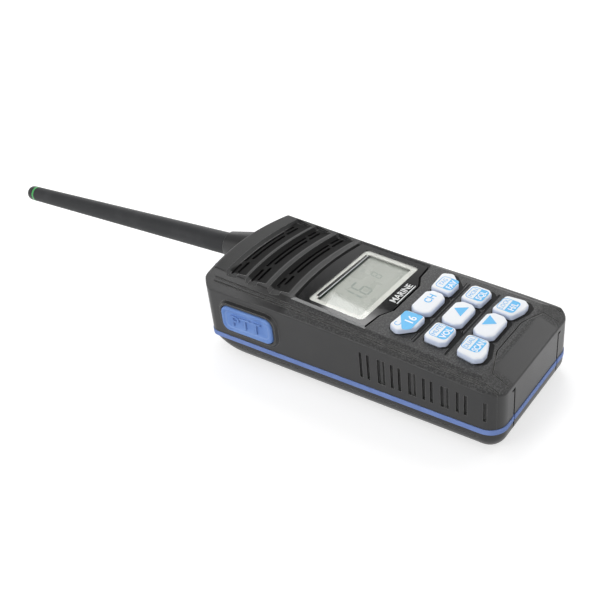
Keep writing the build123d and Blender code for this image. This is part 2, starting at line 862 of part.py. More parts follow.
with BuildPart() as back_shell:
    add(back_skin)
    add(back_hollow, mode=Mode.SUBTRACT)
    add(back_columns.part)
    with BuildSketch(back.offset(wall / 2)):
        with Locations((-clip_spacing / 2, clip_v), (clip_spacing / 2, clip_v)):
            Circle(clip_boss_radius)
    extrude(amount=clip_insert_length + wall / 2)
    # bay: a tub open at the back, with a boss for the lock insert on its roof
    with BuildSketch(back.offset(wall / 2)):
        with Locations((0, bay_middle)):
            RectangleRounded(
                2 * (bay_half_width + bay_wall), 2 * (bay_half_length + bay_wall), bay_corner + bay_wall
            )
    extrude(amount=tub_top - wall / 2)
    with BuildSketch(back.offset(bay_ceiling)):
        with Locations((0, lock_v)):
            Circle(lock_insert_radius + bay_wall)
    extrude(amount=lock_boss_top - bay_ceiling)
    with BuildSketch(back):
        with Locations((0, bay_middle)):
            RectangleRounded(2 * bay_half_width, 2 * bay_half_length, bay_corner)
    extrude(amount=bay_ceiling, mode=Mode.SUBTRACT)
    with BuildSketch(back):
        with Locations((0, lock_v)):
            Circle(lock_insert_radius + fit_gap)
    extrude(amount=bay_ceiling + lock_insert_length + fit_gap, mode=Mode.SUBTRACT)
    with BuildSketch(back):
        with Locations((0, contact_v)):
            Rectangle(contact_block_width + 2 * fit_gap, contact_block_length + 2 * fit_gap)
    extrude(amount=tub_top + 1, mode=Mode.SUBTRACT)
    # holes for the case screws and the clip inserts
    for x, v in screw_places:
        with BuildSketch(back):
            with Locations((x, v), (-x, v)):
                Circle(screw_head_radius + part_gap)
        extrude(amount=screw_seat + fit_gap, mode=Mode.SUBTRACT)
        with BuildSketch(back):
            with Locations((x, v), (-x, v)):
                Circle(screw_radius + part_gap)
        extrude(amount=band_low + 1, mode=Mode.SUBTRACT)
    with BuildSketch(back):
        with Locations((-clip_spacing / 2, clip_v), (clip_spacing / 2, clip_v)):
            Circle(clip_insert_radius + fit_gap)
    extrude(amount=clip_insert_length, mode=Mode.SUBTRACT)
    # a fine line along each side
    with BuildSketch(back.offset(back_line_height)):
        with Locations((-half_width, back_line_middle), (half_width, back_line_middle)):
            Rectangle(2 * line_depth, back_line_end - back_line_start)
    extrude(amount=line_width, mode=Mode.SUBTRACT)
    add(tail_grooves.part, mode=Mode.SUBTRACT)
back_shell.part.label = "back_shell"
export_step(back_shell.part, "parts/back_shell.step")

# ---- Blue band and the seal inside it, squeezed between the two casings ----
band_outer = plan_outline(-band_proud)
band_inner = plan_outline(band_inset)
seal_outer = plan_outline(seal_inset)
seal_inner = plan_outline(wall - part_gap)

with BuildPart() as trim_band:
    with BuildSketch(Plane.XY.offset(band_low + fit_gap)):
        add(band_outer)
        add(band_inner, mode=Mode.SUBTRACT)
    extrude(amount=band_high - band_low - 2 * fit_gap)
    add(tail_grooves.part, mode=Mode.SUBTRACT)
trim_band.part.label = "trim_band"
export_step(trim_band.part, "parts/trim_band.step")

with BuildPart() as shell_seal:
    with BuildSketch(Plane.XY.offset(band_low + fit_gap)):
        add(seal_outer)
        add(seal_inner, mode=Mode.SUBTRACT)
    extrude(amount=band_high - band_low - 2 * fit_gap)
shell_seal.part.label = "shell_seal"
export_step(shell_seal.part, "parts/shell_seal.step")

# ---- Gloss black lens panel with the display window, its border, the display and its light ----
display_hole = display_outline(0)
window_face = display_outline(fit_gap)
border_opening = display_outline(display_border)

with BuildPart() as lens_panel:
    with BuildSketch(face.offset(-lens_sunk - lens_thickness)):
        add(lens_face)
        add(display_hole, mode=Mode.SUBTRACT)
    extrude(amount=lens_thickness)
lens_panel.part.label = "lens_panel"
export_step(lens_panel.part, "parts/lens_panel.step")

with BuildPart() as display_window:
    with BuildSketch(face.offset(-lens_sunk - window_thickness)):
        add(window_face)
    extrude(amount=window_thickness)
display_window.part.label = "display_window"
export_step(display_window.part, "parts/display_window.step")

with BuildPart() as window_frame:
    with BuildSketch(face.offset(-lens_sunk - window_thickness - fit_gap)):
        add(window_face)
        add(border_opening, mode=Mode.SUBTRACT)
    extrude(amount=-frame_thickness)
window_frame.part.label = "window_frame"
export_step(window_frame.part, "parts/window_frame.step")

with BuildPart() as lcd_glass:
    with BuildSketch(face.offset(-lcd_depth)):
        with Locations((0, (lcd_low + lcd_high) / 2)):
            Rectangle(2 * lcd_half_width, lcd_high - lcd_low)
    extrude(amount=-lcd_thickness)
lcd_glass.part.label = "lcd_glass"
export_step(lcd_glass.part, "parts/lcd_glass.step")

with BuildPart() as lcd_backlight:
    with BuildSketch(face.offset(-lcd_depth - lcd_thickness - fit_gap)):
        with Locations((0, (lcd_low + lcd_high) / 2)):
            Rectangle(2 * lcd_half_width, lcd_high - lcd_low)
    extrude(amount=-(board_depth - lcd_depth - lcd_thickness - 2 * fit_gap))
lcd_backlight.part.label = "lcd_backlight"
export_step(lcd_backlight.part, "parts/lcd_backlight.step")

# ---- Nine keycaps: each has a flange that catches under the casing and a foot over its dome ----
for place, name in key_names.items():
    with BuildPart() as cap:
        with BuildSketch(face.offset(-flange_bottom)):
            add(key_faces[place])
        extrude(amount=flange_bottom + key_rise)
        fillet(cap.faces().sort_by(Axis(face.origin, face.z_dir))[-1].edges(), radius=key_edge_radius)
        with BuildSketch(face.offset(-flange_bottom)):
            add(key_flanges[place])
        extrude(amount=key_flange_thickness)
        with BuildSketch(face.offset(-flange_bottom)):
            with Locations(key_centre(*place)):
                Circle(key_foot_radius)
        extrude(amount=-(key_foot_end - flange_bottom))
    cap.part.label = name
    export_step(cap.part, f"parts/{name}.step")

# ---- Rubber mat with a hole for each foot, and the nine metal domes on the board ----
mat_size = (2 * mat_half_width, mat_high - mat_low)
mat_centre = (0, (mat_high + mat_low) / 2)

with BuildPart() as keypad_mat:
    with BuildSketch(face.offset(-mat_top)):
        with Locations(mat_centre):
            Rectangle(*mat_size)
    extrude(amount=-(board_depth - fit_gap - mat_top))
    with BuildSketch(face.offset(-mat_top - mat_thickness)):
        with Locations(mat_centre):
            Rectangle(mat_size[0] - 2 * mat_thickness, mat_size[1] - 2 * mat_thickness)
        for place in key_names:
            with Locations(key_centre(*place)):
                Circle(dome_radius + mat_thickness + mat_hole_gap, mode=Mode.SUBTRACT)
    extrude(amount=-board_depth, mode=Mode.SUBTRACT)
    with BuildSketch(face.offset(-mat_top)):
        for place in key_names:
            with Locations(key_centre(*place)):
                Circle(dome_radius + mat_hole_gap)
    extrude(amount=-board_depth, mode=Mode.SUBTRACT)
keypad_mat.part.label = "keypad_mat"
export_step(keypad_mat.part, "parts/keypad_mat.step")

with BuildPart() as key_domes:
    with BuildSketch(face.offset(-board_depth + fit_gap)):
        for place in key_names:
            with Locations(key_centre(*place)):
                Circle(dome_radius)
    extrude(amount=dome_height, taper=40)
key_domes.part.label = "key_domes"
export_step(key_domes.part, "parts/key_domes.step")

# ---- Main board, its screening can and the cast chassis that carries it ----
board_size = (2 * board_half_width, board_high - board_low)
board_centre = (0, (board_high + board_low) / 2)
shield_size = (2 * shield_half_width, shield_high - shield_low)
shield_centre = (0, (shield_high + shield_low) / 2)

with BuildPart() as main_board:
    with BuildSketch(face.offset(-board_depth)):
        with Locations(board_centre):
            Rectangle(*board_size)
    extrude(amount=-board_thickness)
main_board.part.label = "main_board"
export_step(main_board.part, "parts/main_board.step")

with BuildPart() as rf_shield:
    with BuildSketch(face.offset(-board_bottom - fit_gap)):
        with Locations(shield_centre):
            Rectangle(*shield_size)
    extrude(amount=-shield_height)
    with BuildSketch(face.offset(-board_bottom - fit_gap)):
        with Locations(shield_centre):
            Rectangle(shield_size[0] - 2 * shield_wall, shield_size[1] - 2 * shield_wall)
    extrude(amount=-(shield_height - shield_wall), mode=Mode.SUBTRACT)
rf_shield.part.label = "rf_shield"
export_step(rf_shield.part, "parts/rf_shield.step")

with BuildPart() as chassis:
    with BuildSketch(Plane.XZ.offset(-(tail_y + board_low))):
        Polygon(
            (-board_half_width, chassis_low),
            (board_half_width, chassis_low),
            (board_half_width, head_shoulder_height),
            (board_half_width - chassis_wall, head_shoulder_height),
            (board_half_width - chassis_wall, chassis_plate_top),
            (-board_half_width + chassis_wall, chassis_plate_top),
            (-board_half_width + chassis_wall, head_shoulder_height),
            (-board_half_width, head_shoulder_height),
            align=None,
        )
    extrude(amount=-(board_high - board_low))
    with BuildSketch(face.offset(-board_bottom - fit_gap)):
        Rectangle(4 * body_length, 4 * body_length)
    extrude(amount=body_length, mode=Mode.SUBTRACT)
    with BuildSketch(back):
        with Locations((0, lock_v)):
            Circle(lock_insert_radius + bay_wall + bay_gap)
        with Locations((0, contact_v)):
            Rectangle(contact_block_width + 2 * bay_gap, contact_block_length + 2 * bay_gap)
    extrude(amount=body_length, mode=Mode.SUBTRACT)
chassis.part.label = "chassis"
export_step(chassis.part, "parts/chassis.step")

# ---- Speaker: mesh under the louvres, basket, cone and magnet ----
mesh_bottom = wall + fit_gap + membrane_thickness
cone_edge = speaker_radius - speaker_wall - fit_gap

with BuildPart() as speaker_membrane:
    with BuildSketch(face.offset(-wall - fit_gap)):
        with Locations((0, speaker_v)):
            Circle(membrane_radius)
    extrude(amount=-membrane_thickness)
speaker_membrane.part.label = "speaker_membrane"
export_step(speaker_membrane.part, "parts/speaker_membrane.step")

with BuildPart() as speaker_frame:
    with BuildSketch(face.offset(-mesh_bottom - fit_gap)):
        with Locations((0, speaker_v)):
            Circle(speaker_radius)
            Circle(speaker_radius - speaker_wall, mode=Mode.SUBTRACT)
    extrude(amount=-(speaker_depth - mesh_bottom - fit_gap))
    with BuildSketch(face.offset(-speaker_depth)):
        with Locations((0, speaker_v)):
            Circle(speaker_radius)
            with PolarLocations(magnet_radius + speaker_radius / 4, 6):
                Circle(speaker_radius / 8, mode=Mode.SUBTRACT)
    extrude(amount=speaker_floor)
speaker_frame.part.label = "speaker_frame"
export_step(speaker_frame.part, "parts/speaker_frame.step")

with BuildPart() as speaker_cone:
    with BuildSketch(face.offset(-mesh_bottom - 2 * part_gap)):
        with Locations((0, speaker_v)):
            Circle(cone_edge)
    extrude(amount=-4 * part_gap)
    with BuildSketch(face.offset(-mesh_bottom - 6 * part_gap)):
        with Locations((0, speaker_v)):
            Circle(cone_edge - speaker_wall)
    with BuildSketch(face.offset(-speaker_depth + speaker_floor + fit_gap)):
        with Locations((0, speaker_v)):
            Circle(cone_edge / 3)
    loft()
speaker_cone.part.label = "speaker_cone"
export_step(speaker_cone.part, "parts/speaker_cone.step")

with BuildPart() as speaker_magnet:
    with BuildSketch(face.offset(-speaker_depth - fit_gap)):
        with Locations((0, speaker_v)):
            Circle(magnet_radius)
    extrude(amount=-(magnet_depth - speaker_depth))
speaker_magnet.part.label = "speaker_magnet"
export_step(speaker_magnet.part, "parts/speaker_magnet.step")

with BuildPart() as microphone:
    with BuildSketch(face.offset(-wall - fit_gap)):
        with Locations((mic_x, mic_v)):
            Circle(mic_radius)
            Circle(mic_hole_radius, mode=Mode.SUBTRACT)
    extrude(amount=-mic_height / 2)
    with BuildSketch(face.offset(-wall - fit_gap - mic_height / 2)):
        with Locations((mic_x, mic_v)):
            Circle(mic_radius)
    extrude(amount=-mic_height / 2)
microphone.part.label = "microphone"
export_step(microphone.part, "parts/microphone.step")

# ---- Push-to-talk: button, rubber boot, switch and its small board ----
ptt_flange_bottom = wall + part_gap + ptt_flange_thickness
ptt_foot_end = ptt_board_depth - fit_gap - ptt_switch_height - ptt_travel - part_gap

with BuildPart() as ptt_button:
    with BuildSketch(ptt.offset(-ptt_flange_bottom)):
        RectangleRounded(ptt_length, ptt_width, ptt_corner)
    extrude(amount=ptt_flange_bottom + ptt_rise)
    fillet(ptt_button.faces().sort_by(Axis.X)[0].edges(), radius=ptt_edge_radius)
    with BuildSketch(ptt.offset(-ptt_flange_bottom)):
        RectangleRounded(ptt_length + 2 * ptt_flange, ptt_width + 2 * ptt_flange, ptt_corner + ptt_flange)
    extrude(amount=ptt_flange_thickness)
    with BuildSketch(ptt.offset(-ptt_flange_bottom)):
        Rectangle(ptt_switch_size / 2, ptt_switch_size / 2)
    extrude(amount=-(ptt_foot_end - ptt_flange_bottom))
ptt_button.part.label = "ptt_button"
export_step(ptt_button.part, "parts/ptt_button.step")

boot_inner = ptt_flange + bay_gap
boot_outer = boot_inner + boot_wall

with BuildPart() as ptt_boot:
    with BuildSketch(ptt.offset(-wall - fit_gap)):
        RectangleRounded(ptt_length + 2 * boot_outer, ptt_width + 2 * boot_outer, ptt_corner + boot_outer)
        RectangleRounded(
            ptt_length + 2 * boot_inner,
            ptt_width + 2 * boot_inner,
            ptt_corner + boot_inner,
            mode=Mode.SUBTRACT,
        )
    extrude(amount=-(ptt_board_depth - wall - 2 * fit_gap))
    with BuildSketch(ptt.offset(-ptt_board_depth + fit_gap)):
        RectangleRounded(ptt_length + 2 * boot_outer, ptt_width + 2 * boot_outer, ptt_corner + boot_outer)
        Rectangle(ptt_switch_size + 2 * bay_gap, ptt_switch_size + 2 * bay_gap, mode=Mode.SUBTRACT)
    extrude(amount=boot_wall)
ptt_boot.part.label = "ptt_boot"
export_step(ptt_boot.part, "parts/ptt_boot.step")

with BuildPart() as ptt_switch:
    with BuildSketch(ptt.offset(-ptt_board_depth + fit_gap)):
        Rectangle(ptt_switch_size, ptt_switch_size)
    extrude(amount=ptt_switch_height * 0.8)
    with BuildSketch(ptt.offset(-ptt_board_depth + fit_gap)):
        Circle(ptt_switch_size / 4)
    extrude(amount=ptt_switch_height)
ptt_switch.part.label = "ptt_switch"
export_step(ptt_switch.part, "parts/ptt_switch.step")

with BuildPart() as ptt_board:
    with BuildSketch(ptt.offset(-ptt_board_depth)):
        Rectangle(ptt_board_length, ptt_board_width)
    extrude(amount=-ptt_board_thickness)
ptt_board.part.label = "ptt_board"
export_step(ptt_board.part, "parts/ptt_board.step")

# ---- Antenna: rubber whip on a brass stud, green ring and glossy end cap ----
ring_radius = whip_end_radius

with BuildPart() as antenna_connector:
    with BuildSketch(mast.offset(stud_start)):
        Circle(stud_radius)
    extrude(amount=whip_start - stud_start)
    with BuildSketch(mast.offset(whip_start)):
        Circle(core_radius)
    extrude(amount=core_length)
antenna_connector.part.label = "antenna_connector"
export_step(antenna_connector.part, "parts/antenna_connector.step")

with BuildPart() as antenna_seal:
    with BuildSketch(mast.offset(recess_start + part_gap)):
        Circle(whip_base_radius - whip_gap)
        Circle(stud_radius + fit_gap, mode=Mode.SUBTRACT)
    extrude(amount=seal_length)
antenna_seal.part.label = "antenna_seal"
export_step(antenna_seal.part, "parts/antenna_seal.step")

with BuildPart() as antenna_whip:
    with BuildSketch(mast.offset(whip_start)):
        Circle(whip_base_radius)
    with BuildSketch(mast.offset(whip_end)):
        Circle(whip_end_radius)
    loft()
    with BuildSketch(mast.offset(whip_start)):
        Circle(core_radius + fit_gap)
    extrude(amount=core_length + fit_gap, mode=Mode.SUBTRACT)
antenna_whip.part.label = "antenna_whip"
export_step(antenna_whip.part, "parts/antenna_whip.step")

with BuildPart() as antenna_ring:
    with BuildSketch(mast.offset(ring_start)):
        Circle(ring_radius)
    extrude(amount=ring_length)
antenna_ring.part.label = "antenna_ring"
export_step(antenna_ring.part, "parts/antenna_ring.step")

with BuildPart() as antenna_tip:
    with BuildSketch(mast.offset(tip_start)):
        Circle(whip_end_radius)
    extrude(amount=antenna_end - tip_start)
    fillet(antenna_tip.faces().sort_by(Axis.Y)[-1].edges(), radius=whip_end_radius * 0.7)
antenna_tip.part.label = "antenna_tip"
export_step(antenna_tip.part, "parts/antenna_tip.step")

# ---- Antenna socket behind the collar, and the coaxial lead to the board ----
with BuildPart() as antenna_socket:
    with BuildSketch(mast.offset(-socket_tail)):
        Circle(socket_radius)
    extrude(amount=socket_tail + recess_start - part_gap)
    with BuildSketch(mast.offset(-socket_flange_depth)):
        Circle(socket_radius + socket_flange)
    extrude(amount=-socket_flange / 2)
    with BuildSketch(mast.offset(stud_start - part_gap)):
        Circle(stud_radius + shaft_gap)
    extrude(amount=2 * stud_length, mode=Mode.SUBTRACT)
antenna_socket.part.label = "antenna_socket"
export_step(antenna_socket.part, "parts/antenna_socket.step")

lead_end = body_length - board_high + 4
lead_plug = (antenna_x, tail_y + body_length - lead_end * cos(lean) + lead_radius)

with BuildPart() as antenna_lead:
    with BuildSketch(mast.offset(-socket_tail - fit_gap)):
        Circle(lead_radius)
    extrude(amount=-(lead_end - socket_tail))
    with BuildSketch(Plane.XY.offset(antenna_height)):
        with Locations(lead_plug):
            Circle(2 * lead_radius)
    extrude(amount=head_shoulder_height - antenna_height)
    with BuildSketch(face.offset(-board_bottom - fit_gap)):
        Rectangle(4 * body_length, 4 * body_length)
    extrude(amount=body_length, mode=Mode.SUBTRACT)
antenna_lead.part.label = "antenna_lead"
export_step(antenna_lead.part, "parts/antenna_lead.step")

# ---- Accessory jack and its knurled screw cap ----
cap_start = jack_boss_rise + bay_gap

with BuildPart() as jack_socket:
    with BuildSketch(jack.offset(-jack_length + jack_boss_rise)):
        Circle(jack_radius)
    extrude(amount=jack_length)
    with BuildSketch(jack.offset(-socket_flange_depth)):
        Circle(jack_radius + socket_flange)
    extrude(amount=-socket_flange / 2)
    with BuildSketch(jack.offset(cap_start - cap_stem_length - part_gap)):
        Circle(cap_stem_radius + shaft_gap)
    extrude(amount=2 * cap_stem_length, mode=Mode.SUBTRACT)
jack_socket.part.label = "jack_socket"
export_step(jack_socket.part, "parts/jack_socket.step")

with BuildPart() as jack_cap:
    with BuildSketch(jack.offset(cap_start)):
        Circle(cap_radius)
        with PolarLocations(cap_radius + cap_tooth_radius / 3, cap_teeth):
            Circle(cap_tooth_radius, mode=Mode.SUBTRACT)
    extrude(amount=cap_length)
    with BuildSketch(jack.offset(cap_start)):
        Circle(cap_stem_radius)
    extrude(amount=-cap_stem_length)
    with BuildSketch(jack.offset(cap_start)):
        Circle(jack_radius + jack_seal_width)
        Circle(jack_radius, mode=Mode.SUBTRACT)
    extrude(amount=jack_seal_thickness, mode=Mode.SUBTRACT)
jack_cap.part.label = "jack_cap"
export_step(jack_cap.part, "parts/jack_cap.step")

with BuildPart() as jack_cap_seal:
    with BuildSketch(jack.offset(cap_start - part_gap)):
        Circle(jack_radius + jack_seal_width - fit_gap)
        Circle(jack_radius + fit_gap, mode=Mode.SUBTRACT)
    extrude(amount=jack_seal_thickness)
jack_cap_seal.part.label = "jack_cap_seal"
export_step(jack_cap_seal.part, "parts/jack_cap_seal.step")

# ---- Battery pack: case, lid, two cells, contacts, seal and charging pads ----
pack_length = battery_high - battery_low
cell_end = battery_high - battery_wall - part_gap

with BuildPart() as battery_case:
    with BuildSketch(back.offset(battery_bottom)):
        with Locations((0, bay_middle)):
            RectangleRounded(2 * battery_half_width, pack_length, battery_corner)
    extrude(amount=battery_lid_low - battery_bottom)
    with BuildSketch(back.offset(battery_bottom + battery_wall)):
        with Locations((0, bay_middle)):
            RectangleRounded(
                2 * (battery_half_width - battery_wall), pack_length - 2 * battery_wall, battery_corner - battery_wall
            )
        with Locations((0, lock_v)):
            Circle(lock_head_radius + battery_wall + part_gap, mode=Mode.SUBTRACT)
    extrude(amount=battery_lid_low, mode=Mode.SUBTRACT)
    with BuildSketch(back):
        with Locations((0, lock_v)):
            Circle(lock_head_radius + part_gap)
    extrude(amount=battery_bottom + lock_head_sunk + lock_head_height, mode=Mode.SUBTRACT)
    with BuildSketch(back):
        with Locations((0, lock_v)):
            Circle(lock_shaft_radius + shaft_gap)
    extrude(amount=battery_top, mode=Mode.SUBTRACT)
    # a shallow place for a label and four grip lines under it
    with BuildSketch(back):
        with Locations((0, (label_low + label_high) / 2)):
            RectangleRounded(2 * label_half_width, label_high - label_low, battery_corner)
    extrude(amount=battery_bottom + label_depth, mode=Mode.SUBTRACT)
    with BuildSketch(back):
        with Locations((0, grip_line_v + grip_line_pitch * (grip_line_count - 1) / 2)):
            with GridLocations(1, grip_line_pitch, 1, grip_line_count):
                SlotOverall(2 * grip_line_half_width, grip_line_pitch / 2)
    extrude(amount=battery_bottom + grip_line_depth, mode=Mode.SUBTRACT)
    # shallow pockets for the charging pads and a groove for the seal
    with BuildSketch(back):
        with Locations((-pad_x, pad_v), (pad_x, pad_v)):
            Circle(pad_radius + fit_gap)
    extrude(amount=battery_bottom + battery_wall / 2, mode=Mode.SUBTRACT)
    with BuildSketch(back.offset(seal_low)):
        with Locations((0, bay_middle)):
            RectangleRounded(4 * battery_half_width, 2 * pack_length, battery_corner)
            RectangleRounded(
                2 * (battery_half_width - seal_groove), pack_length - 2 * seal_groove, battery_corner, mode=Mode.SUBTRACT
            )
    extrude(amount=seal_height, mode=Mode.SUBTRACT)
battery_case.part.label = "battery_case"
export_step(battery_case.part, "parts/battery_case.step")

with BuildPart() as battery_seal:
    with BuildSketch(back.offset(seal_low + fit_gap)):
        with Locations((0, bay_middle)):
            RectangleRounded(
                2 * (battery_half_width + part_gap), pack_length + 2 * part_gap, battery_corner + part_gap
            )
            RectangleRounded(
                2 * (battery_half_width - seal_groove + fit_gap),
                pack_length - 2 * (seal_groove - fit_gap),
                battery_corner,
                mode=Mode.SUBTRACT,
            )
    extrude(amount=seal_height - 2 * fit_gap)
battery_seal.part.label = "battery_seal"
export_step(battery_seal.part, "parts/battery_seal.step")

with BuildPart() as battery_cells:
    with BuildSketch(back.offset(battery_bottom + battery_wall + fit_gap)):
        for side in (-1, 1):
            with Locations((side * (cell_width + part_gap * 4) / 2, (cell_low + cell_end) / 2)):
                RectangleRounded(cell_width, cell_end - cell_low, battery_corner - battery_wall)
    extrude(amount=cell_height)
battery_cells.part.label = "battery_cells"
export_step(battery_cells.part, "parts/battery_cells.step")

with BuildPart() as battery_lid:
    with BuildSketch(back.offset(battery_lid_low + fit_gap)):
        with Locations((0, bay_middle)):
            RectangleRounded(2 * battery_half_width, pack_length, battery_corner)
        with Locations((0, lock_v)):
            Circle(lock_shaft_radius + shaft_gap, mode=Mode.SUBTRACT)
    extrude(amount=battery_wall - fit_gap)
    with BuildSketch(back.offset(battery_top - contact_thickness)):
        with Locations((0, contact_v)):
            with GridLocations(contact_pitch, 1, contact_count, 1):
                Rectangle(contact_width + 2 * fit_gap, contact_length + 2 * fit_gap)
    extrude(amount=1, mode=Mode.SUBTRACT)
battery_lid.part.label = "battery_lid"
export_step(battery_lid.part, "parts/battery_lid.step")

with BuildPart() as battery_contacts:
    with BuildSketch(back.offset(battery_top - contact_thickness + fit_gap)):
        with Locations((0, contact_v)):
            with GridLocations(contact_pitch, 1, contact_count, 1):
                Rectangle(contact_width, contact_length)
    extrude(amount=contact_thickness)
battery_contacts.part.label = "battery_contacts"
export_step(battery_contacts.part, "parts/battery_contacts.step")

with BuildPart() as charge_pads:
    with BuildSketch(back.offset(battery_bottom)):
        with Locations((-pad_x, pad_v), (pad_x, pad_v)):
            Circle(pad_radius)
    extrude(amount=battery_wall / 2 - fit_gap)
charge_pads.part.label = "charge_pads"
export_step(charge_pads.part, "parts/charge_pads.step")

with BuildPart() as contact_block:
    with BuildSketch(back.offset(bay_ceiling)):
        with Locations((0, contact_v)):
            Rectangle(contact_block_width, contact_block_length)
    extrude(amount=contact_block_height)
    with BuildSketch(back.offset(battery_top + 2 * part_gap)):
        with Locations((0, contact_v)):
            with GridLocations(contact_pitch, 1, contact_count, 1):
                Circle(contact_width / 4)
    extrude(amount=battery_roof_gap)
contact_block.part.label = "contact_block"
export_step(contact_block.part, "parts/contact_block.step")

# ---- Lock screw of the battery pack and its brass insert ----
lock_seat = battery_bottom + lock_head_sunk
lock_end = bay_ceiling + lock_insert_length * 0.8

with BuildPart() as lock_screw:
    with BuildSketch(back.offset(lock_seat)):
        with Locations((0, lock_v)):
            Circle(lock_head_radius)
    extrude(amount=lock_head_height - fit_gap)
    with BuildSketch(back.offset(lock_seat)):
        with Locations((0, lock_v)):
            Circle(lock_shaft_radius)
    extrude(amount=lock_end - lock_seat)
    with BuildSketch(back.offset(lock_seat)):
        with Locations((0, lock_v)):
            Rectangle(2 * lock_head_radius, lock_slot_width)
    extrude(amount=lock_head_height / 2, mode=Mode.SUBTRACT)
lock_screw.part.label = "lock_screw"
export_step(lock_screw.part, "parts/lock_screw.step")

with BuildPart() as lock_insert:
    with BuildSketch(back.offset(bay_ceiling + fit_gap)):
        with Locations((0, lock_v)):
            Circle(lock_insert_radius)
            Circle(lock_shaft_radius + shaft_gap, mode=Mode.SUBTRACT)
    extrude(amount=lock_insert_length - fit_gap)
lock_insert.part.label = "lock_insert"
export_step(lock_insert.part, "parts/lock_insert.step")

# ---- Case screws, their brass inserts, and the threaded inserts for the belt clip ----
with BuildPart() as shell_screws:
    for x, v in screw_places:
        with BuildSketch(back.offset(screw_head_depth)):
            with Locations((x, v), (-x, v)):
                Circle(screw_head_radius)
        extrude(amount=screw_head_height)
        with BuildSketch(back.offset(screw_head_depth)):
            with Locations((x, v), (-x, v)):
                Circle(screw_radius)
        extrude(amount=screw_head_height + screw_length)
        with BuildSketch(back.offset(screw_head_depth)):
            with Locations((x, v), (-x, v)):
                Rectangle(screw_head_radius, screw_radius / 2)
                Rectangle(screw_radius / 2, screw_head_radius)
        extrude(amount=screw_head_height / 2, mode=Mode.SUBTRACT)
shell_screws.part.label = "shell_screws"
export_step(shell_screws.part, "parts/shell_screws.step")

with BuildPart() as shell_inserts:
    for x, v in screw_places:
        with BuildSketch(back.offset(screw_insert_start)):
            with Locations((x, v), (-x, v)):
                Circle(screw_insert_radius)
                Circle(screw_radius + fit_gap, mode=Mode.SUBTRACT)
        extrude(amount=screw_insert_length)
shell_inserts.part.label = "shell_inserts"
export_step(shell_inserts.part, "parts/shell_inserts.step")

with BuildPart() as clip_inserts:
    with BuildSketch(back.offset(part_gap)):
        with Locations((-clip_spacing / 2, clip_v), (clip_spacing / 2, clip_v)):
            Circle(clip_insert_radius)
            Circle(clip_hole_radius, mode=Mode.SUBTRACT)
    extrude(amount=clip_insert_length - 2 * part_gap)
clip_inserts.part.label = "clip_inserts"
export_step(clip_inserts.part, "parts/clip_inserts.step")
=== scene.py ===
from math import cos, pi, radians, sin, tan

import bmesh
import bpy
from mathutils import Matrix, Vector


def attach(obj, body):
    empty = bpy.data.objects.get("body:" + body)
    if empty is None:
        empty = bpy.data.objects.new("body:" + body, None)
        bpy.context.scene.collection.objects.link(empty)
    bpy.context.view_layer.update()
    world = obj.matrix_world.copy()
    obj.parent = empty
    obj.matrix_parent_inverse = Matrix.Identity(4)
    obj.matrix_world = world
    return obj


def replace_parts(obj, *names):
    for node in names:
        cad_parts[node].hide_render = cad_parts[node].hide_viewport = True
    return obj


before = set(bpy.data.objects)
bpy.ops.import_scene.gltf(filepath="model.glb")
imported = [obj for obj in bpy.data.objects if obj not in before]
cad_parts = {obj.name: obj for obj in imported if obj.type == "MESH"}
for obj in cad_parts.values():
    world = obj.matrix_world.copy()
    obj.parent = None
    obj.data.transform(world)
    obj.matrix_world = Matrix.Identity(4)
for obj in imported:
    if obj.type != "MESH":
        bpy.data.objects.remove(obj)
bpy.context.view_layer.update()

# ---- Camera ----
# The radio lies on its back with its antenna to the upper left, seen from beside its tail.
# The camera looks down on it at about a third of a right angle, rolled a little.
camera_place = Vector((-0.24522, -0.16815, 0.22404))
camera_azimuth = radians(-49.55)
camera_elevation = radians(33.0)
camera_roll = radians(-6.886)
camera_lens = 52.506

behind = Vector(
    (
        sin(camera_azimuth) * cos(camera_elevation),
        -cos(camera_azimuth) * cos(camera_elevation),
        sin(camera_elevation),
    )
)
level = Vector((0, 0, 1)).cross(behind).normalized()
upright = behind.cross(level)
right = cos(camera_roll) * level + sin(camera_roll) * upright
up = cos(camera_roll) * upright - sin(camera_roll) * level
camera = bpy.data.objects.new("camera", bpy.data.cameras.new("camera"))
camera.data.lens = camera_lens
camera.data.sensor_width = 36
camera.data.clip_start = 0.01
camera_turn = Matrix((right, up, behind)).transposed().to_4x4()
camera.matrix_world = Matrix.Translation(camera_place) @ camera_turn
bpy.context.scene.collection.objects.link(camera)
bpy.context.scene.camera = camera
bpy.context.scene.view_settings.view_transform = "Standard"

# ---- Casings ----
# Front and back are moulded in charcoal plastic with a fine spark-eroded grain on the keypad and
# the bevels, and a smoother satin on the walls. Their edges are painted lighter as a painted
# highlight, in soft patches, and the hollows and the speaker end carry painted shade.
mm = 0.001
case_colour = (40, 40, 41)
case_edge_highlight_colour = (122, 122, 120)
fleck_colour = (70, 70, 70)
hollow_shadow_colour = (16, 16, 16)
handled_colour = (54, 53, 51)
shade_colour = (26, 26, 26)
hollow_shade = 0.74
head_shade = 0.45
case_edge_radius = 0.42
grain_size = 0.24
grain_depth = 0.05
half_length = 69
face_tail = 28.4
face_tilt = radians(4.75)

# Each pair is where a part of the finish starts and where it is whole, in millimetres along the
# radio, off its middle or below its front.
keypad_end = (22, 27)
tail_slope_end = (-61.4, -60.6)
tail_slope_side = (18.0, 19.5)
hollow_tail = (-58.6, -58.2)
hollow_head = (57, 58)
hollow_side = (22.5, 23.5)
hollow_top = (0.06, 0.3)
hollow_floor = (6, 7)


def paint(red, green, blue):
    """A screen colour of 0 to 255 as the light values that a shader takes."""
    parts = (red, green, blue)
    return (*(((part / 255 + 0.055) / 1.055) ** 2.4 if part > 10 else part / 3295 for part in parts), 1)


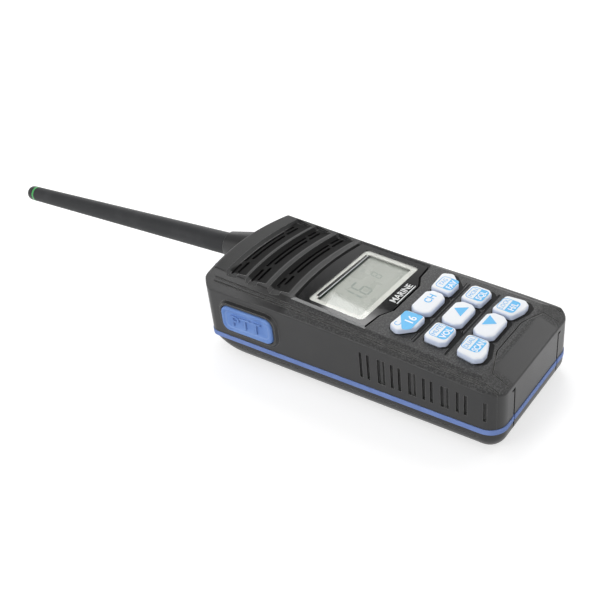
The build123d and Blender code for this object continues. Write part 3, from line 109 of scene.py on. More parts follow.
class Tone:
    """A socket in a finish. Sums on it add the nodes that work them out."""

    def __init__(self, tree, socket=None):
        self.tree = tree
        self.socket = socket

    def node(self, kind, settings=None, values=None, output=0):
        """Adds any node: its settings first, then the values or links of its sockets."""
        made = self.tree.nodes.new("ShaderNode" + kind)
        for name, value in (settings or {}).items():
            setattr(made, name, value)
        for name, value in (values or {}).items():
            if isinstance(value, Tone):
                self.tree.links.new(value.socket, made.inputs[name])
            else:
                made.inputs[name].default_value = value
        return Tone(self.tree, made.outputs[output])

    def sum(self, operation, first, second=0.0):
        return self.node("Math", {"operation": operation}, {0: first, 1: second})

    def __add__(self, other):
        return self.sum("ADD", self, other)

    __radd__ = __add__

    def __sub__(self, other):
        return self.sum("SUBTRACT", self, other)

    def __rsub__(self, other):
        return self.sum("SUBTRACT", other, self)

    def __mul__(self, other):
        return self.sum("MULTIPLY", self, other)

    __rmul__ = __mul__

    def __gt__(self, other):
        return self.sum("GREATER_THAN", self, other)

    def ease(self, low, high):
        """Climbs smoothly from 0 at low to 1 at high."""
        return self.node(
            "MapRange",
            {"interpolation_type": "SMOOTHSTEP"},
            {"Value": self, "From Min": low, "From Max": high},
        )

    def part(self, axis):
        """One coordinate of a place."""
        return self.node("SeparateXYZ", None, {0: self}, output=axis)

    def surface(self):
        """The direction that the surface faces."""
        return self.node("NewGeometry", output="Normal")

    def stretched(self, x, y, z):
        """A place with its coordinates multiplied."""
        return self.node("VectorMath", {"operation": "MULTIPLY"}, {0: self, 1: (x, y, z)})

    def mix(self, low, high):
        """The colour low where this is 0 and high where it is 1."""
        return self.node("Mix", {"data_type": "RGBA"}, {0: self, 6: low, 7: high}, output=2)

    def clouds(self, size, detail=2.0, rough=0.5):
        """Soft blotches from 0 to 1 at this place, of a size in millimetres."""
        values = {"Vector": self, "Scale": 1 / size, "Detail": detail, "Roughness": rough}
        return self.node("TexNoise", None, values)

    def pits(self, size):
        """Distance from scattered points at this place, 0 at each, with a size in millimetres."""
        return self.node("TexVoronoi", None, {"Vector": self, "Scale": 1 / size})

    def relief(self, depth, rounded):
        """Surface direction of this height, which runs from 0 to 1 over a depth in millimetres."""
        values = {"Strength": 1.0, "Distance": depth * mm, "Height": self, "Normal": rounded}
        return self.node("Bump", None, values)


def start_finish(name, **fixed):
    """A new material: its shader with the sockets that don't change set, and its place in millimetres."""
    material = bpy.data.materials.new(name)
    material.use_nodes = True
    shader = material.node_tree.nodes["Principled BSDF"]
    for socket, value in fixed.items():
        shader.inputs[socket.replace("_", " ")].default_value = value
    place = Tone(material.node_tree).node("TexCoord", output="Object").stretched(1000, 1000, 1000)
    return material, shader, place


def lay(shader, **tones):
    """Links patterns to a shader's sockets."""
    for socket, tone in tones.items():
        tone.tree.links.new(tone.socket, shader.inputs[socket.replace("_", " ")])


def finish_with(material, tone):
    """Shows a shader on a material's surface in place of its first one."""
    tree = material.node_tree
    tree.links.new(tone.socket, tree.nodes["Material Output"].inputs["Surface"])


def round_edges(place, radius):
    """Surface direction with the edges rounded, and a mask that is 1 along them."""
    rounded = place.node("Bevel", {"samples": 4}, {"Radius": radius * mm})
    sharp = place.node("NewGeometry", output="True Normal")
    turn = place.node("VectorMath", {"operation": "DOT_PRODUCT"}, {0: rounded, 1: sharp}, output="Value")
    return rounded, (1 - turn).ease(0.006, 0.1)


def dress(material, *nodes):
    """Gives the named pieces their finish."""
    for name in nodes:
        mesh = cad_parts[name].data
        mesh.materials.clear()
        mesh.materials.append(material)


case_black, shader, place = start_finish("case_black", IOR=1.46)
rounded, edge = round_edges(place, case_edge_radius)
faces_up = place.surface().part("Z").ease(0.55, 0.8)
keypad_side = 1 - place.part("Y").ease(*keypad_end)
off_middle = place.node("Math", {"operation": "ABSOLUTE"}, {0: place.part("X")})
smooth_tail = (1 - place.part("Y").ease(*tail_slope_end)) * (1 - off_middle.ease(*tail_slope_side))
grained = faces_up * keypad_side * (1 - smooth_tail)
sunk = face_tail + (place.part("Y") + half_length) * tan(face_tilt) - place.part("Z")
between_ends = place.part("Y").ease(*hollow_tail) * (1 - place.part("Y").ease(*hollow_head))
between_sides = 1 - off_middle.ease(*hollow_side)
below_front = sunk.ease(*hollow_top) * (1 - sunk.ease(*hollow_floor))
hollow = below_front * between_sides * between_ends
# The edges are painted lighter as a painted highlight, broken up by soft patches, except in the hollows.
worn = edge * (0.6 + 0.4 * place.clouds(2.4, 3.0).ease(0.35, 0.75)) * (1 - hollow)
grain = place.clouds(grain_size, 1.0)
flecks = place.clouds(0.6, 1.0)
handled = place.clouds(16, 4.0, 0.6)
flecked = (grained * flecks.ease(0.45, 0.62)).mix(paint(*case_colour), paint(*fleck_colour))
# Hollows below the front are painted dark as painted shade.
shaded_hollows = (hollow * 0.75).mix(flecked, paint(*hollow_shadow_colour))
rubbed = (handled.ease(0.3, 0.8) * 0.35).mix(shaded_hollows, paint(*handled_colour))
lay(
    shader,
    Base_Color=(worn * 0.75).mix(rubbed, paint(*case_edge_highlight_colour)),
    Roughness=0.24 + 0.12 * handled + 0.22 * grained + 0.06 * flecks + 0.3 * hollow,
    Normal=(grain * (0.35 + 0.65 * grained)).relief(grain_depth, rounded),
)
# Up-facing parts of the speaker end, and the hollows, are mixed with a dark matt shader as painted shade.
shaded_head_tops = faces_up * (1 - keypad_side) * (1 - hollow) * (1 - edge)
shade = place.node("BsdfDiffuse", None, {"Color": paint(*shade_colour)})
gloss = Tone(case_black.node_tree, shader.outputs["BSDF"])
painted_shade_amount = hollow_shade * hollow + head_shade * shaded_head_tops
finish_with(case_black, place.node("MixShader", None, {0: painted_shade_amount, 1: gloss, 2: shade}))
dress(case_black, "front_shell", "back_shell")

# ---- Band and seals ----
# A blue soft rubber band is squeezed between the two casings all round, with a black seal inside it.
# The keypad mat and the talk button's boot are grey rubber with a dull, faintly mottled skin.
band_colour = (104, 128, 186)
band_rub_colour = (136, 160, 220)
seal_colour = (26, 26, 27)
seal_rub_colour = (44, 44, 45)
mat_colour = (74, 77, 80)
mat_rub_colour = (104, 107, 110)


def moulded_rubber(name, colour, rubbed, mottle, radius):
    """Dull rubber, a little lighter along its edges."""
    material, shader, place = start_finish(name, IOR=1.42)
    rounded, edge = round_edges(place, radius)
    skin = place.clouds(mottle, 3.0)
    dusty = place.clouds(mottle * 9, 2.0).ease(0.35, 0.75)
    tired = (dusty * 0.3 + 0.25 * skin).mix(paint(*colour), paint(*rubbed))
    lay(
        shader,
        Base_Color=(edge * 0.6).mix(tired, paint(*rubbed)),
        Roughness=0.5 + 0.2 * skin,
        Normal=skin.relief(0.03, rounded),
    )
    return material


dress(moulded_rubber("band_blue", band_colour, band_rub_colour, 0.8, 0.3), "trim_band")
dress(
    moulded_rubber("seal_black", seal_colour, seal_rub_colour, 0.6, 0.15),
    "shell_seal",
    "antenna_seal",
    "jack_cap_seal",
    "battery_seal",
)
dress(moulded_rubber("mat_rubber", mat_colour, mat_rub_colour, 0.9, 0.2), "keypad_mat", "ptt_boot")

# ---- Lens panel ----
# A gloss black acrylic panel sits just below the front, cut from sheet and stuck in its recess.
# It carries a white word for the kind of radio, screen printed on it with a bar under it.
lens_colour = (9, 9, 10)
smear_colour = (70, 70, 70)
lens_sunk = 0.5
ink_height = 0.03
word_place = (2.2, 58.7)
word_size = 2.9
word_bold = 0.055
bar_drop = 2.25
bar_size = (14.4, 0.45)


def on_face(x, v, rise):
    """Places a drawing on the tilted front: x across, v along from the tail, rise above it."""
    ground = Matrix.Translation((x, v - half_length, face_tail + v * tan(face_tilt)))
    return ground @ Matrix.Rotation(face_tilt, 4, "X") @ Matrix.Translation((0, 0, rise))


def to_mesh(form, name):
    """Ends a form in a mesh of its own, still in millimetres."""
    mesh = bpy.data.meshes.new(name)
    form.to_mesh(mesh)
    form.free()
    return mesh


def letters(text, height, bold, thickness):
    """A word's solid letters, in millimetres, with the middle of their outline at the origin."""
    curve = bpy.data.curves.new(text, "FONT")
    curve.body = text
    curve.size = height / 0.73
    curve.offset = bold
    curve.extrude = thickness / 2
    curve.resolution_u = 4
    holder = bpy.data.objects.new(text, curve)
    mesh = bpy.data.meshes.new_from_object(holder)
    bpy.data.objects.remove(holder)
    corners = [vertex.co for vertex in mesh.vertices]
    low = Vector([min(corner[axis] for corner in corners) for axis in range(3)])
    high = Vector([max(corner[axis] for corner in corners) for axis in range(3)])
    mesh.transform(Matrix.Translation(-(low + high) / 2))
    return mesh


def rectangle(left, low, right, high):
    """The four corners of an upright rectangle."""
    return ((left, low), (right, low), (right, high), (left, high))


def flat(corners):
    """A form of one flat face with these corners."""
    form = bmesh.new()
    form.faces.new([form.verts.new((x, y, 0)) for x, y in corners])
    return form


def round_off(form, corners, radius):
    """Rounds some corners of a flat form."""
    bmesh.ops.bevel(
        form, geom=corners, offset=radius, segments=5, profile=0.5, affect="VERTICES", material=-1
    )


def corners_of(parts):
    """The corners among the parts that an operator made."""
    return [part for part in parts if isinstance(part, bmesh.types.BMVert)]


def edges_of(parts):
    """The edges among the parts that an operator made."""
    return [part for part in parts if isinstance(part, bmesh.types.BMEdge)]


def thicken(form, thickness):
    """Gives a flat form its thickness, upwards from the plane."""
    lifted = bmesh.ops.extrude_face_region(form, geom=form.faces[:])["geom"]
    bmesh.ops.translate(form, vec=(0, 0, thickness), verts=corners_of(lifted))
    bmesh.ops.recalc_face_normals(form, faces=form.faces[:])


def plate(corners, radius, thickness):
    """A flat plate with these corners, rounded, standing on the plane."""
    form = flat(corners)
    if radius:
        round_off(form, form.verts[:], radius)
    thicken(form, thickness)
    return to_mesh(form, "plate")


def frame_line(corners, radius, width, thickness):
    """A thin rounded outline of one width, standing on the plane."""
    form = flat(corners)
    round_off(form, form.verts[:], radius)
    middle = form.faces[:]
    bmesh.ops.inset_region(form, faces=middle, thickness=width, use_even_offset=True, use_boundary=True)
    bmesh.ops.delete(form, geom=middle, context="FACES_ONLY")
    thicken(form, thickness)
    return to_mesh(form, "line")


def stamp(form, mesh, place, ink=0):
    """Adds a drawing to a form at its place, in one of the form's materials."""
    mesh.transform(place)
    if place.determinant() < 0:
        mesh.flip_normals()
    for face in mesh.polygons:
        face.material_index = ink
    form.from_mesh(mesh)
    bpy.data.meshes.remove(mesh)


def add_piece(name, form, body, slot, *materials):
    """Makes a form in millimetres a piece that rides on a body, with the materials given; slot is not
    used.
    """
    bmesh.ops.scale(form, vec=(mm, mm, mm), verts=form.verts[:])
    mesh = bpy.data.meshes.new(name)
    form.to_mesh(mesh)
    form.free()
    piece = bpy.data.objects.new(name, mesh)
    bpy.context.scene.collection.objects.link(piece)
    for material in materials:
        mesh.materials.append(material)
    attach(piece, body)
    return piece


lens_black, shader, place = start_finish("lens_black", IOR=1.5)
rounded, edge = round_edges(place, 0.12)
smears = place.clouds(9, 4.0, 0.65)
hairlines = place.stretched(1, 9, 1).clouds(1.1, 3.0)
lay(
    shader,
    Base_Color=(edge * 0.5 + 0.1 * smears.ease(0.5, 0.9)).mix(paint(*lens_colour), paint(*smear_colour)),
    Roughness=0.05 + 0.07 * smears.ease(0.4, 0.9) + 0.02 * hairlines,
    Normal=smears.relief(0.002, rounded),
)
dress(lens_black, "lens_panel")


def thin_paint(name, colour, faded, patch_size, patch_detail, dull, duller, depth, **fixed):
    """Paint or ink that lies a little uneven: dull where it is thick, duller where it is thin."""
    material, shader, place = start_finish(name, **fixed)
    patches = place.clouds(patch_size, patch_detail)
    lay(
        shader,
        Base_Color=patches.mix(paint(*colour), paint(*faded)),
        Roughness=dull + duller * patches,
        Normal=patches.relief(depth, place.surface()),
    )
    return material


print_white = thin_paint("print_white", (236, 237, 236), (214, 216, 216), 0.7, 3.0, 0.35, 0.2, 0.004)
word = bmesh.new()
word_x, word_v = word_place
word_middle = on_face(word_x, word_v, ink_height / 2 - lens_sunk)
stamp(word, letters("MARINE", word_size, word_bold, ink_height), word_middle)
half_bar, half_high = bar_size[0] / 2, bar_size[1] / 2
bar_corners = rectangle(-half_bar, -half_high, half_bar, half_high)
stamp(word, plate(bar_corners, 0.2, ink_height), on_face(word_x, word_v - bar_drop, -lens_sunk))
add_piece("lens_word", word, "radio", "lens_black", print_white)

# ---- Lens edge strip ----
# The near edge of the lens is a bright cut edge, scored across by the cutter, between two dark gaps.
# It is a slim strip of the lens's own sheet, lying in the step of the casing beside it.
strip_x = (-25.9, -24.2)
strip_v = (57.6, 92.2)
strip_rise = 0.06
strip_thickness = 0.2
strip_colour = (140, 141, 141)
score_colour = (44, 45, 46)
score_slant = 0.75
score_count = 1.15

strip_finish, shader, place = start_finish("cut_edge", IOR=1.49)
rounded, edge = round_edges(place, 0.08)
across = place.part("X") * score_slant
score = (place.part("Y") + across) * score_count
scored = score.node("Math", {"operation": "FRACT"}, {0: score}).ease(0.3, 0.62)
patches = place.clouds(1.6, 3.0)
lay(
    shader,
    Base_Color=(scored * 0.9).mix(paint(*strip_colour), paint(*score_colour)),
    Roughness=0.25 + 0.3 * patches,
    Normal=scored.relief(0.04, rounded),
)
strip = bmesh.new()
near_x, far_x = strip_x
low_v, high_v = strip_v
strip_corners = ((near_x, low_v), (far_x, low_v + 1.4), (far_x, high_v - 0.4), (near_x, high_v + 0.6))
strip_mesh = plate([(x, v - low_v) for x, v in strip_corners], 0.15, strip_thickness)
stamp(strip, strip_mesh, on_face(0, low_v, strip_rise - strip_thickness))
add_piece("lens_edge_strip", strip, "radio", "lens_black", strip_finish)

# ---- Window, border and display ----
# A clear window covers a silver border sprayed on its back, and below lies the grey-green display.
# The display shows the channel in dark segments. On its head side a dark strip is a painted shadow
# in the gap under the border, and a pale line beside it is a painted glint on the glass's edge.
border_colour = (206, 207, 202)
border_dim_colour = (190, 191, 187)
display_colour = (180, 185, 177)
display_dim_colour = (170, 174, 167)
cell_colour = (140, 148, 140)
segment_colour = (132, 143, 136)
segment_faded_colour = (152, 161, 153)
guide_colour = (236, 238, 238)
guide_dot_colour = (205, 210, 212)

window_clear = bpy.data.materials.new("window_clear")
window_clear.use_nodes = True
window_clear.node_tree.nodes.remove(window_clear.node_tree.nodes["Principled BSDF"])
glass = Tone(window_clear.node_tree)
gleam = glass.node("Fresnel", None, {"IOR": 1.5})
outer = 1 - glass.node("NewGeometry", output="Backfacing")
place = glass.node("TexCoord", output="Object").stretched(1000, 1000, 1000)
smears = place.clouds(8, 4.0, 0.65).ease(0.45, 0.95)
film = glass.node("BsdfGlossy", None, {"Color": (1, 1, 1, 1), "Roughness": 0.03 + 0.05 * smears})
clear = glass.node("BsdfTransparent", None, {"Color": (0.985, 0.985, 0.98, 1)})
shine = gleam * outer * (0.85 + 0.15 * smears)
finish_with(window_clear, glass.node("MixShader", None, {0: shine, 1: clear, 2: film}))
dress(window_clear, "display_window")

border_silver, shader, place = start_finish("border_silver", Metallic=0.35, IOR=1.45)
rounded, edge = round_edges(place, 0.1)
flakes = place.pits(0.16)
sprayed = place.clouds(3.0, 3.0)
lay(
    shader,
    Base_Color=(0.5 * flakes + 0.5 * sprayed).mix(paint(*border_colour), paint(*border_dim_colour)),
    Roughness=0.34 + 0.2 * flakes,
    Normal=flakes.relief(0.01, rounded),
)
dress(border_silver, "window_frame")

lcd_grey, shader, place = start_finish("lcd_grey", IOR=1.5)
rounded, edge = round_edges(place, 0.1)
across = place.part("X").ease(-21, 21)
along = place.part("Y").ease(-6, 16)
fog = place.clouds(6.0, 2.0)
cells = place.stretched(2.2, 2.2, 2.2).clouds(1.0, 0.0)
dimness = 0.45 * along + 0.3 * across + 0.25 * fog
tint = dimness.mix(paint(*display_colour), paint(*display_dim_colour))
lay(
    shader,
    Base_Color=(cells * 0.12).mix(tint, paint(*cell_colour)),
    Roughness=0.22 + 0.12 * fog,
    Normal=cells.relief(0.003, rounded),
)
dress(lcd_grey, "lcd_glass")

light_guide, shader, place = start_finish("light_guide", IOR=1.49)
rounded, edge = round_edges(place, 0.15)
dots = place.pits(0.9).ease(0.1, 0.35)
lay(
    shader,
    Base_Color=dots.mix(paint(*guide_colour), paint(*guide_dot_colour)),
    Roughness=0.3 + 0.25 * dots,
    Normal=dots.relief(0.02, rounded),
)
dress(light_guide, "lcd_backlight")

segment_ink = thin_paint(
    "segment_ink", segment_colour, segment_faded_colour, 0.9, 2.0, 0.3, 0.1, 0.002
)
lcd_rise = -1.95
gap_shadow_v = 85.5
gap_shadow_rise = -0.94
glint_drop = 0.95
segment_length = 4.2
segment_width = 0.95
segment_gap = 0.12
segment_slant = radians(7)
segment_height = 0.02
sign_size = 1.7
digit_places = (-9.2, -2.2, 9.0)
digits = ("bc", "acdefg", "abcdefg")
digit_sizes = (1.0, 1.0, 0.55)
digit_v = 74.6
segment_spots = {
    "a": (0, 1, 0),
    "b": (0.5, 0.5, 1),
    "c": (0.5, -0.5, 1),
    "d": (0, -1, 0),
    "e": (-0.5, -0.5, 1),
    "f": (-0.5, 0.5, 1),
    "g": (0, 0, 0),
}
long_half = segment_length / 2 - segment_gap
wide_half = segment_width / 2
bar = (
    (-long_half, 0),
    (-long_half + wide_half, -wide_half),
    (long_half - wide_half, -wide_half),
    (long_half, 0),
    (long_half - wide_half, wide_half),
    (-long_half + wide_half, wide_half),
)
segments = bmesh.new()
for digit_x, shown, size in zip(digit_places, digits, digit_sizes):
    place_digit = on_face(digit_x, digit_v, lcd_rise) @ Matrix.Scale(size, 4)
    for name in shown:
        x, y, standing = segment_spots[name]
        lean = tan(segment_slant) * y * segment_length
        spot = Matrix.Translation((x * segment_length + lean, y * segment_length, 0))
        turn = Matrix.Rotation(pi / 2 * standing - segment_slant * standing, 4, "Z")
        stamp(segments, plate(bar, 0, segment_height), place_digit @ spot @ turn)
for sign, sign_x, sign_v in (("CH", -14.4, 80.6), ("HI", 9.0, 81.4)):
    sign_mesh = letters(sign, sign_size, segment_height, segment_height)
    stamp(segments, sign_mesh, on_face(sign_x, sign_v, lcd_rise + segment_height / 2))
# The dark strip in the lens's black is a painted shadow, and the pale line in the guide's white a painted
# glint.
slot = ((-17.4, -0.95), (18.0, -0.5), (18.0, 0.25), (-17.4, 0.75))
stamp(segments, plate(slot, 0.1, 0.05), on_face(0, gap_shadow_v, gap_shadow_rise), 1)
line = ((-17.6, -0.2), (18.0, -0.12), (18.0, 0.12), (-17.6, 0.2))
stamp(segments, plate(line, 0, 0.08), on_face(0, gap_shadow_v - glint_drop, gap_shadow_rise), 2)
add_piece("lcd_segments", segments, "radio", "lcd_grey", segment_ink, lens_black, light_guide)

# ---- Keys ----
# Nine white keycaps are moulded in soft translucent plastic, their sides painted a darker blue as painted
# shade.
# Their words and marks are screen printed in sky blue, and the words on the blue fields in white.
key_colour = (236, 239, 243)
key_side_shade_colour = (206, 216, 236)
key_rub_colour = (222, 224, 228)
ink_blue_colour = (84, 184, 240)
ink_pale_colour = (104, 182, 236)
ink_white_colour = (238, 242, 247)
key_rise = 2.3
key_rows = (45.55, 32.4, 19.25)
field_near = -13.9
field_far = 14.5
field_half_width = 4.0
field_half_height = 3.7
field_drop = 0.4
field_corner = 1.7
outline_width = 0.3
word_height = 2.45
word_width = 7.0
small_word_height = 1.85
small_word_width = 6.9
legend_lift = key_rise + 0.01

key_white, shader, place = start_finish(
    "key_white",
    IOR=1.46,
    Subsurface_Weight=0.12,
    Subsurface_Scale=0.002,
    Subsurface_Radius=(1.0, 1.0, 1.2),
)
rounded, edge = round_edges(place, 0.5)
upper = place.surface().part("Z").ease(0.3, 0.95)
skin = place.clouds(0.5, 2.0)
handled = place.clouds(5.0, 3.0)
# Sides are painted darker and bluer than tops: painted shade.
plastic = upper.mix(paint(*key_side_shade_colour), paint(*key_colour))
lay(
    shader,
    Base_Color=(handled.ease(0.55, 0.9) * 0.25).mix(plastic, paint(*key_rub_colour)),
    Roughness=0.34 + 0.14 * skin + 0.08 * handled,
    Normal=skin.relief(0.008, rounded),
)
key_names = ("16", "channel", "favourite", "volume", "up", "squelch", "scan", "down", "power_level")
dress(key_white, *["key_" + name for name in key_names])


def printed_ink(name, colour, worn_colour):
    """Screen ink on a key, slightly worn where the thumb rubs it."""
    material, shader, place = start_finish(name, IOR=1.46)
    patches = place.clouds(0.45, 3.0)
    rub = place.clouds(2.2, 3.0).ease(0.5, 0.9)
    lay(
        shader,
        Base_Color=(0.35 * rub + 0.15 * patches).mix(paint(*colour), paint(*worn_colour)),
        Roughness=0.3 + 0.15 * patches,
        Normal=patches.relief(0.004, place.surface()),
    )
    return material


inks = (
    printed_ink("ink_blue", ink_blue_colour, (112, 196, 242)),
    printed_ink("ink_pale", ink_pale_colour, (170, 212, 240)),
    printed_ink("ink_white", ink_white_colour, (224, 230, 238)),
)
blue, pale, white = range(3)


def word_field(form, place, strong, weak):
    """The double field of an outer key: strong word in a blue half, weak word in an outlined half."""
    wide, high = field_half_width, field_half_height
    outline = frame_line(rectangle(-wide, -high, wide, high), field_corner, outline_width, ink_height)
    stamp(form, outline, place, pale)
    half = flat(rectangle(-wide, -high, wide, 0))
    round_off(half, [corner for corner in half.verts if corner.co.y < -1], field_corner)
    thicken(half, 1.4 * ink_height)
    stamp(form, to_mesh(half, "half"), place, blue)
    squeeze = min(1.0, word_width / (0.86 * word_height * len(strong)))
    strong_place = place @ Matrix.Translation((0, -high / 2 - 0.05, 2 * ink_height))
    strong_place = strong_place @ Matrix.Scale(squeeze, 4, (1, 0, 0))
    stamp(form, letters(strong, word_height, 0.09, ink_height), strong_place, white)
    squeeze = min(1.0, small_word_width / (0.8 * small_word_height * len(weak)))
    weak_place = place @ Matrix.Translation((0, high / 2 - 0.1, ink_height / 2))
    weak_place = weak_place @ Matrix.Scale(squeeze, 4, (1, 0, 0))
    stamp(form, letters(weak, small_word_height, 0.0, ink_height), weak_place, pale)


first_row, second_row, third_row = key_rows
outer_words = (
    ("favourite", field_far, first_row, "FAV", "TAG"),
    ("volume", field_near, second_row, "VOL", "MUTE"),
    ("squelch", field_far, second_row, "SQL", "MON"),
    ("scan", field_near, third_row, "SCAN", "DUAL"),
    ("power_level", field_far, third_row, "H/L", "LOCK"),
)
for name, x, v, strong, weak in outer_words:
    legend = bmesh.new()
    word_field(legend, on_face(x, v - field_drop, legend_lift), strong, weak)
    add_piece("legend_" + name, legend, f"key_{name}_cap", "key_white", *inks)

legend = bmesh.new()
sixteen_field = (
    (-4.6, -3.6),
    (4.4, -3.6),
    (4.9, -2.8),
    (4.5, 3.4),
    (3.9, 4.0),
    (0.6, 4.0),
    (-6.3, -0.6),
    (-6.2, -2.0),
)
sixteen_place = on_face(-14.4, first_row, legend_lift)
number_place = sixteen_place @ Matrix.Translation((0.6, -0.6, 1.6 * ink_height))
letter_place = sixteen_place @ Matrix.Translation((-4.4, 2.4, ink_height / 2))
stamp(legend, plate(sixteen_field, 0.5, ink_height), sixteen_place, blue)
stamp(legend, letters("16", 3.6, 0.07, ink_height), number_place, white)
stamp(legend, letters("C", 2.6, 0.0, ink_height), letter_place, pale)
add_piece("legend_16", legend, "key_16_cap", "key_white", *inks)

legend = bmesh.new()
channel_place = on_face(1.75, first_row + 0.25, legend_lift + ink_height / 2)
stamp(legend, letters("CH", 3.1, 0.05, ink_height), channel_place, blue)
add_piece("legend_channel", legend, "key_channel_cap", "key_white", *inks)
for name, v, point in (("up", second_row, 1), ("down", third_row, -1)):
    legend = bmesh.new()
    arrow = ((-3.45, -2.2 * point), (3.45, -2.2 * point), (0, 2.3 * point))
    stamp(legend, plate(arrow[::point], 0.12, ink_height), on_face(1.55, v + 0.4, legend_lift), blue)
    add_piece("legend_" + name, legend, f"key_{name}_cap", "key_white", *inks)

# ---- Painted key-well shadows and dividing lines ----
# Round each key a thin black sheet lies on the keypad as a painted shadow in its well,
# wider towards the tail and the far side.
# Two painted black lines divide the keypad, one below each of its first two rows.
well_shadow_width = 1.2
well_shadow_shift = (0.85, -0.7)
well_lift = 0.03
well_clearance = 0.12
divider_width = 0.7
divider_rows = (38.95, 25.8)
divider_ends = (-22.6, 22.0)


def draw_out(form, loop, middle, scale, shift):
    """Extrudes a loop of edges, scales it about a point and shifts it."""
    made = bmesh.ops.extrude_edge_only(form, edges=loop)["geom"]
    bmesh.ops.scale(form, vec=scale, space=Matrix.Translation(-middle), verts=corners_of(made))
    bmesh.ops.translate(form, vec=shift, verts=corners_of(made))
    return edges_of(made)


def copy_solid(name):
    """A copy of a CAD piece as one joined form in millimetres."""
    form = bmesh.new()
    form.from_mesh(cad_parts[name].data)
    bmesh.ops.scale(form, vec=(1000, 1000, 1000), verts=form.verts[:])
    bmesh.ops.remove_doubles(form, verts=form.verts[:], dist=0.005)
    return form


well_shadow_and_line_black = thin_paint("well_shadow_and_line_black", (9, 9, 9), (17, 17, 17), 0.6, 2.0, 0.7, 0.15, 0.01, IOR=1.4)
well_shadows_and_lines = bmesh.new()
face_ground = on_face(0, 0, 0)
# Each sheet follows the key's foot, grown and shifted towards the tail and far side, as painted shadow.
for name in key_names:
    well_shadow = copy_solid("key_" + name)
    bmesh.ops.transform(well_shadow, matrix=face_ground.inverted(), verts=well_shadow.verts[:])
    cut = bmesh.ops.bisect_plane(
        well_shadow,
        geom=well_shadow.verts[:] + well_shadow.edges[:] + well_shadow.faces[:],
        plane_co=(0, 0, well_lift),
        plane_no=(0, 0, 1),
        clear_inner=True,
        clear_outer=True,
    )["geom_cut"]
    rim = corners_of(cut)
    centre = sum((corner.co for corner in rim), Vector()) / len(rim)
    spread = max((corner.co - centre).length for corner in rim)
    clear = 1 + well_clearance / spread
    bmesh.ops.scale(well_shadow, vec=(clear, clear, 1), space=Matrix.Translation(-centre), verts=rim)
    wide = 1 + well_shadow_width / spread
    draw_out(well_shadow, edges_of(cut), centre, (wide, wide, 1), (*well_shadow_shift, 0))
    for corner in well_shadow.verts:
        corner.co.z = well_lift
    loose = [corner for corner in well_shadow.verts if not corner.link_faces]
    bmesh.ops.delete(well_shadow, geom=loose, context="VERTS")
    thicken(well_shadow, well_lift)
    stamp(well_shadows_and_lines, to_mesh(well_shadow, "well_shadow"), face_ground)
start, end = divider_ends
for v in divider_rows:
    corners = rectangle(start, v - divider_width / 2, end, v + divider_width / 2)
    stamp(well_shadows_and_lines, plate(corners, 0.2, 0.05), on_face(0, 0, -0.01))
add_piece("key_well_shadows_and_lines", well_shadows_and_lines, "radio", "case_black", well_shadow_and_line_black)

# ---- Boards, cans and chassis ----
# Behind the keys are steel domes on the main board, under a tinned can, on a die-cast chassis.
# The boards are green with tinned tracks, and the castings are bead blasted.
board_colour = (22, 78, 46)
track_colour = (44, 112, 66)
board_edge_colour = (176, 168, 120)

board_green, shader, place = start_finish("board_green", IOR=1.5)
rounded, edge = round_edges(place, 0.15)
grid = place.stretched(0.35, 0.35, 0.0)
tracks = grid.pits(1.0).ease(0.36, 0.44)
weave = place.clouds(0.25, 1.0)
lacquer = tracks.mix(paint(*board_colour), paint(*track_colour))
lay(
    shader,
    Base_Color=(edge * 0.7 + 0.1 * weave).mix(lacquer, paint(*board_edge_colour)),
    Roughness=0.28 + 0.2 * weave,
    Normal=tracks.relief(0.03, rounded),
)
dress(board_green, "main_board", "ptt_board")


def sheet_metal(name, colour, tarnish, roughness, drag, radius=0.1):
    """Bright metal with fine drag marks and a little tarnish."""
    material, shader, place = start_finish(name, Metallic=1.0)
    rounded, edge = round_edges(place, radius)
    marks = place.stretched(*drag).clouds(1.0, 3.0)
    stain = place.clouds(3.4, 4.0, 0.65).ease(0.4, 0.85)
    lay(
        shader,
        Base_Color=(0.55 * stain + 0.15 * marks).mix(paint(*colour), paint(*tarnish)),
        Roughness=roughness + 0.18 * marks + 0.12 * stain - 0.08 * edge,
        Normal=marks.relief(0.006, rounded),
    )
    return material


spring_steel = sheet_metal("spring_steel", (188, 188, 186), (140, 136, 130), 0.22, (0.6, 6, 6))
shield_tin = sheet_metal("shield_tin", (196, 198, 198), (150, 150, 146), 0.28, (6, 0.6, 6))
castings = sheet_metal("cast_aluminium", (168, 170, 172), (130, 131, 132), 0.48, (5, 5, 5), 0.3)
dress(spring_steel, "key_domes", "ptt_switch")
dress(shield_tin, "rf_shield", "microphone")
dress(castings, "chassis")

# ---- Speaker ----
# A round speaker sits under the louvres: a black paper cone, a steel magnet and a moulded basket.
# A woven cloth over it keeps the water out.
cloth_thread = 0.32

mesh_black, shader, place = start_finish("mesh_black", IOR=1.4)
rounded, edge = round_edges(place, 0.1)
thread_turn = 2 * pi / cloth_thread
warp = place.node("Math", {"operation": "SINE"}, {0: place.part("X") * thread_turn})
weft = place.node("Math", {"operation": "SINE"}, {0: place.part("Y") * thread_turn})
weave = (warp * weft).ease(-0.6, 0.6)
lay(
    shader,
    Base_Color=weave.mix(paint(10, 10, 10), paint(30, 30, 30)),
    Roughness=0.7 + 0.15 * weave,
    Normal=weave.relief(0.06, rounded),
)
dress(mesh_black, "speaker_membrane")

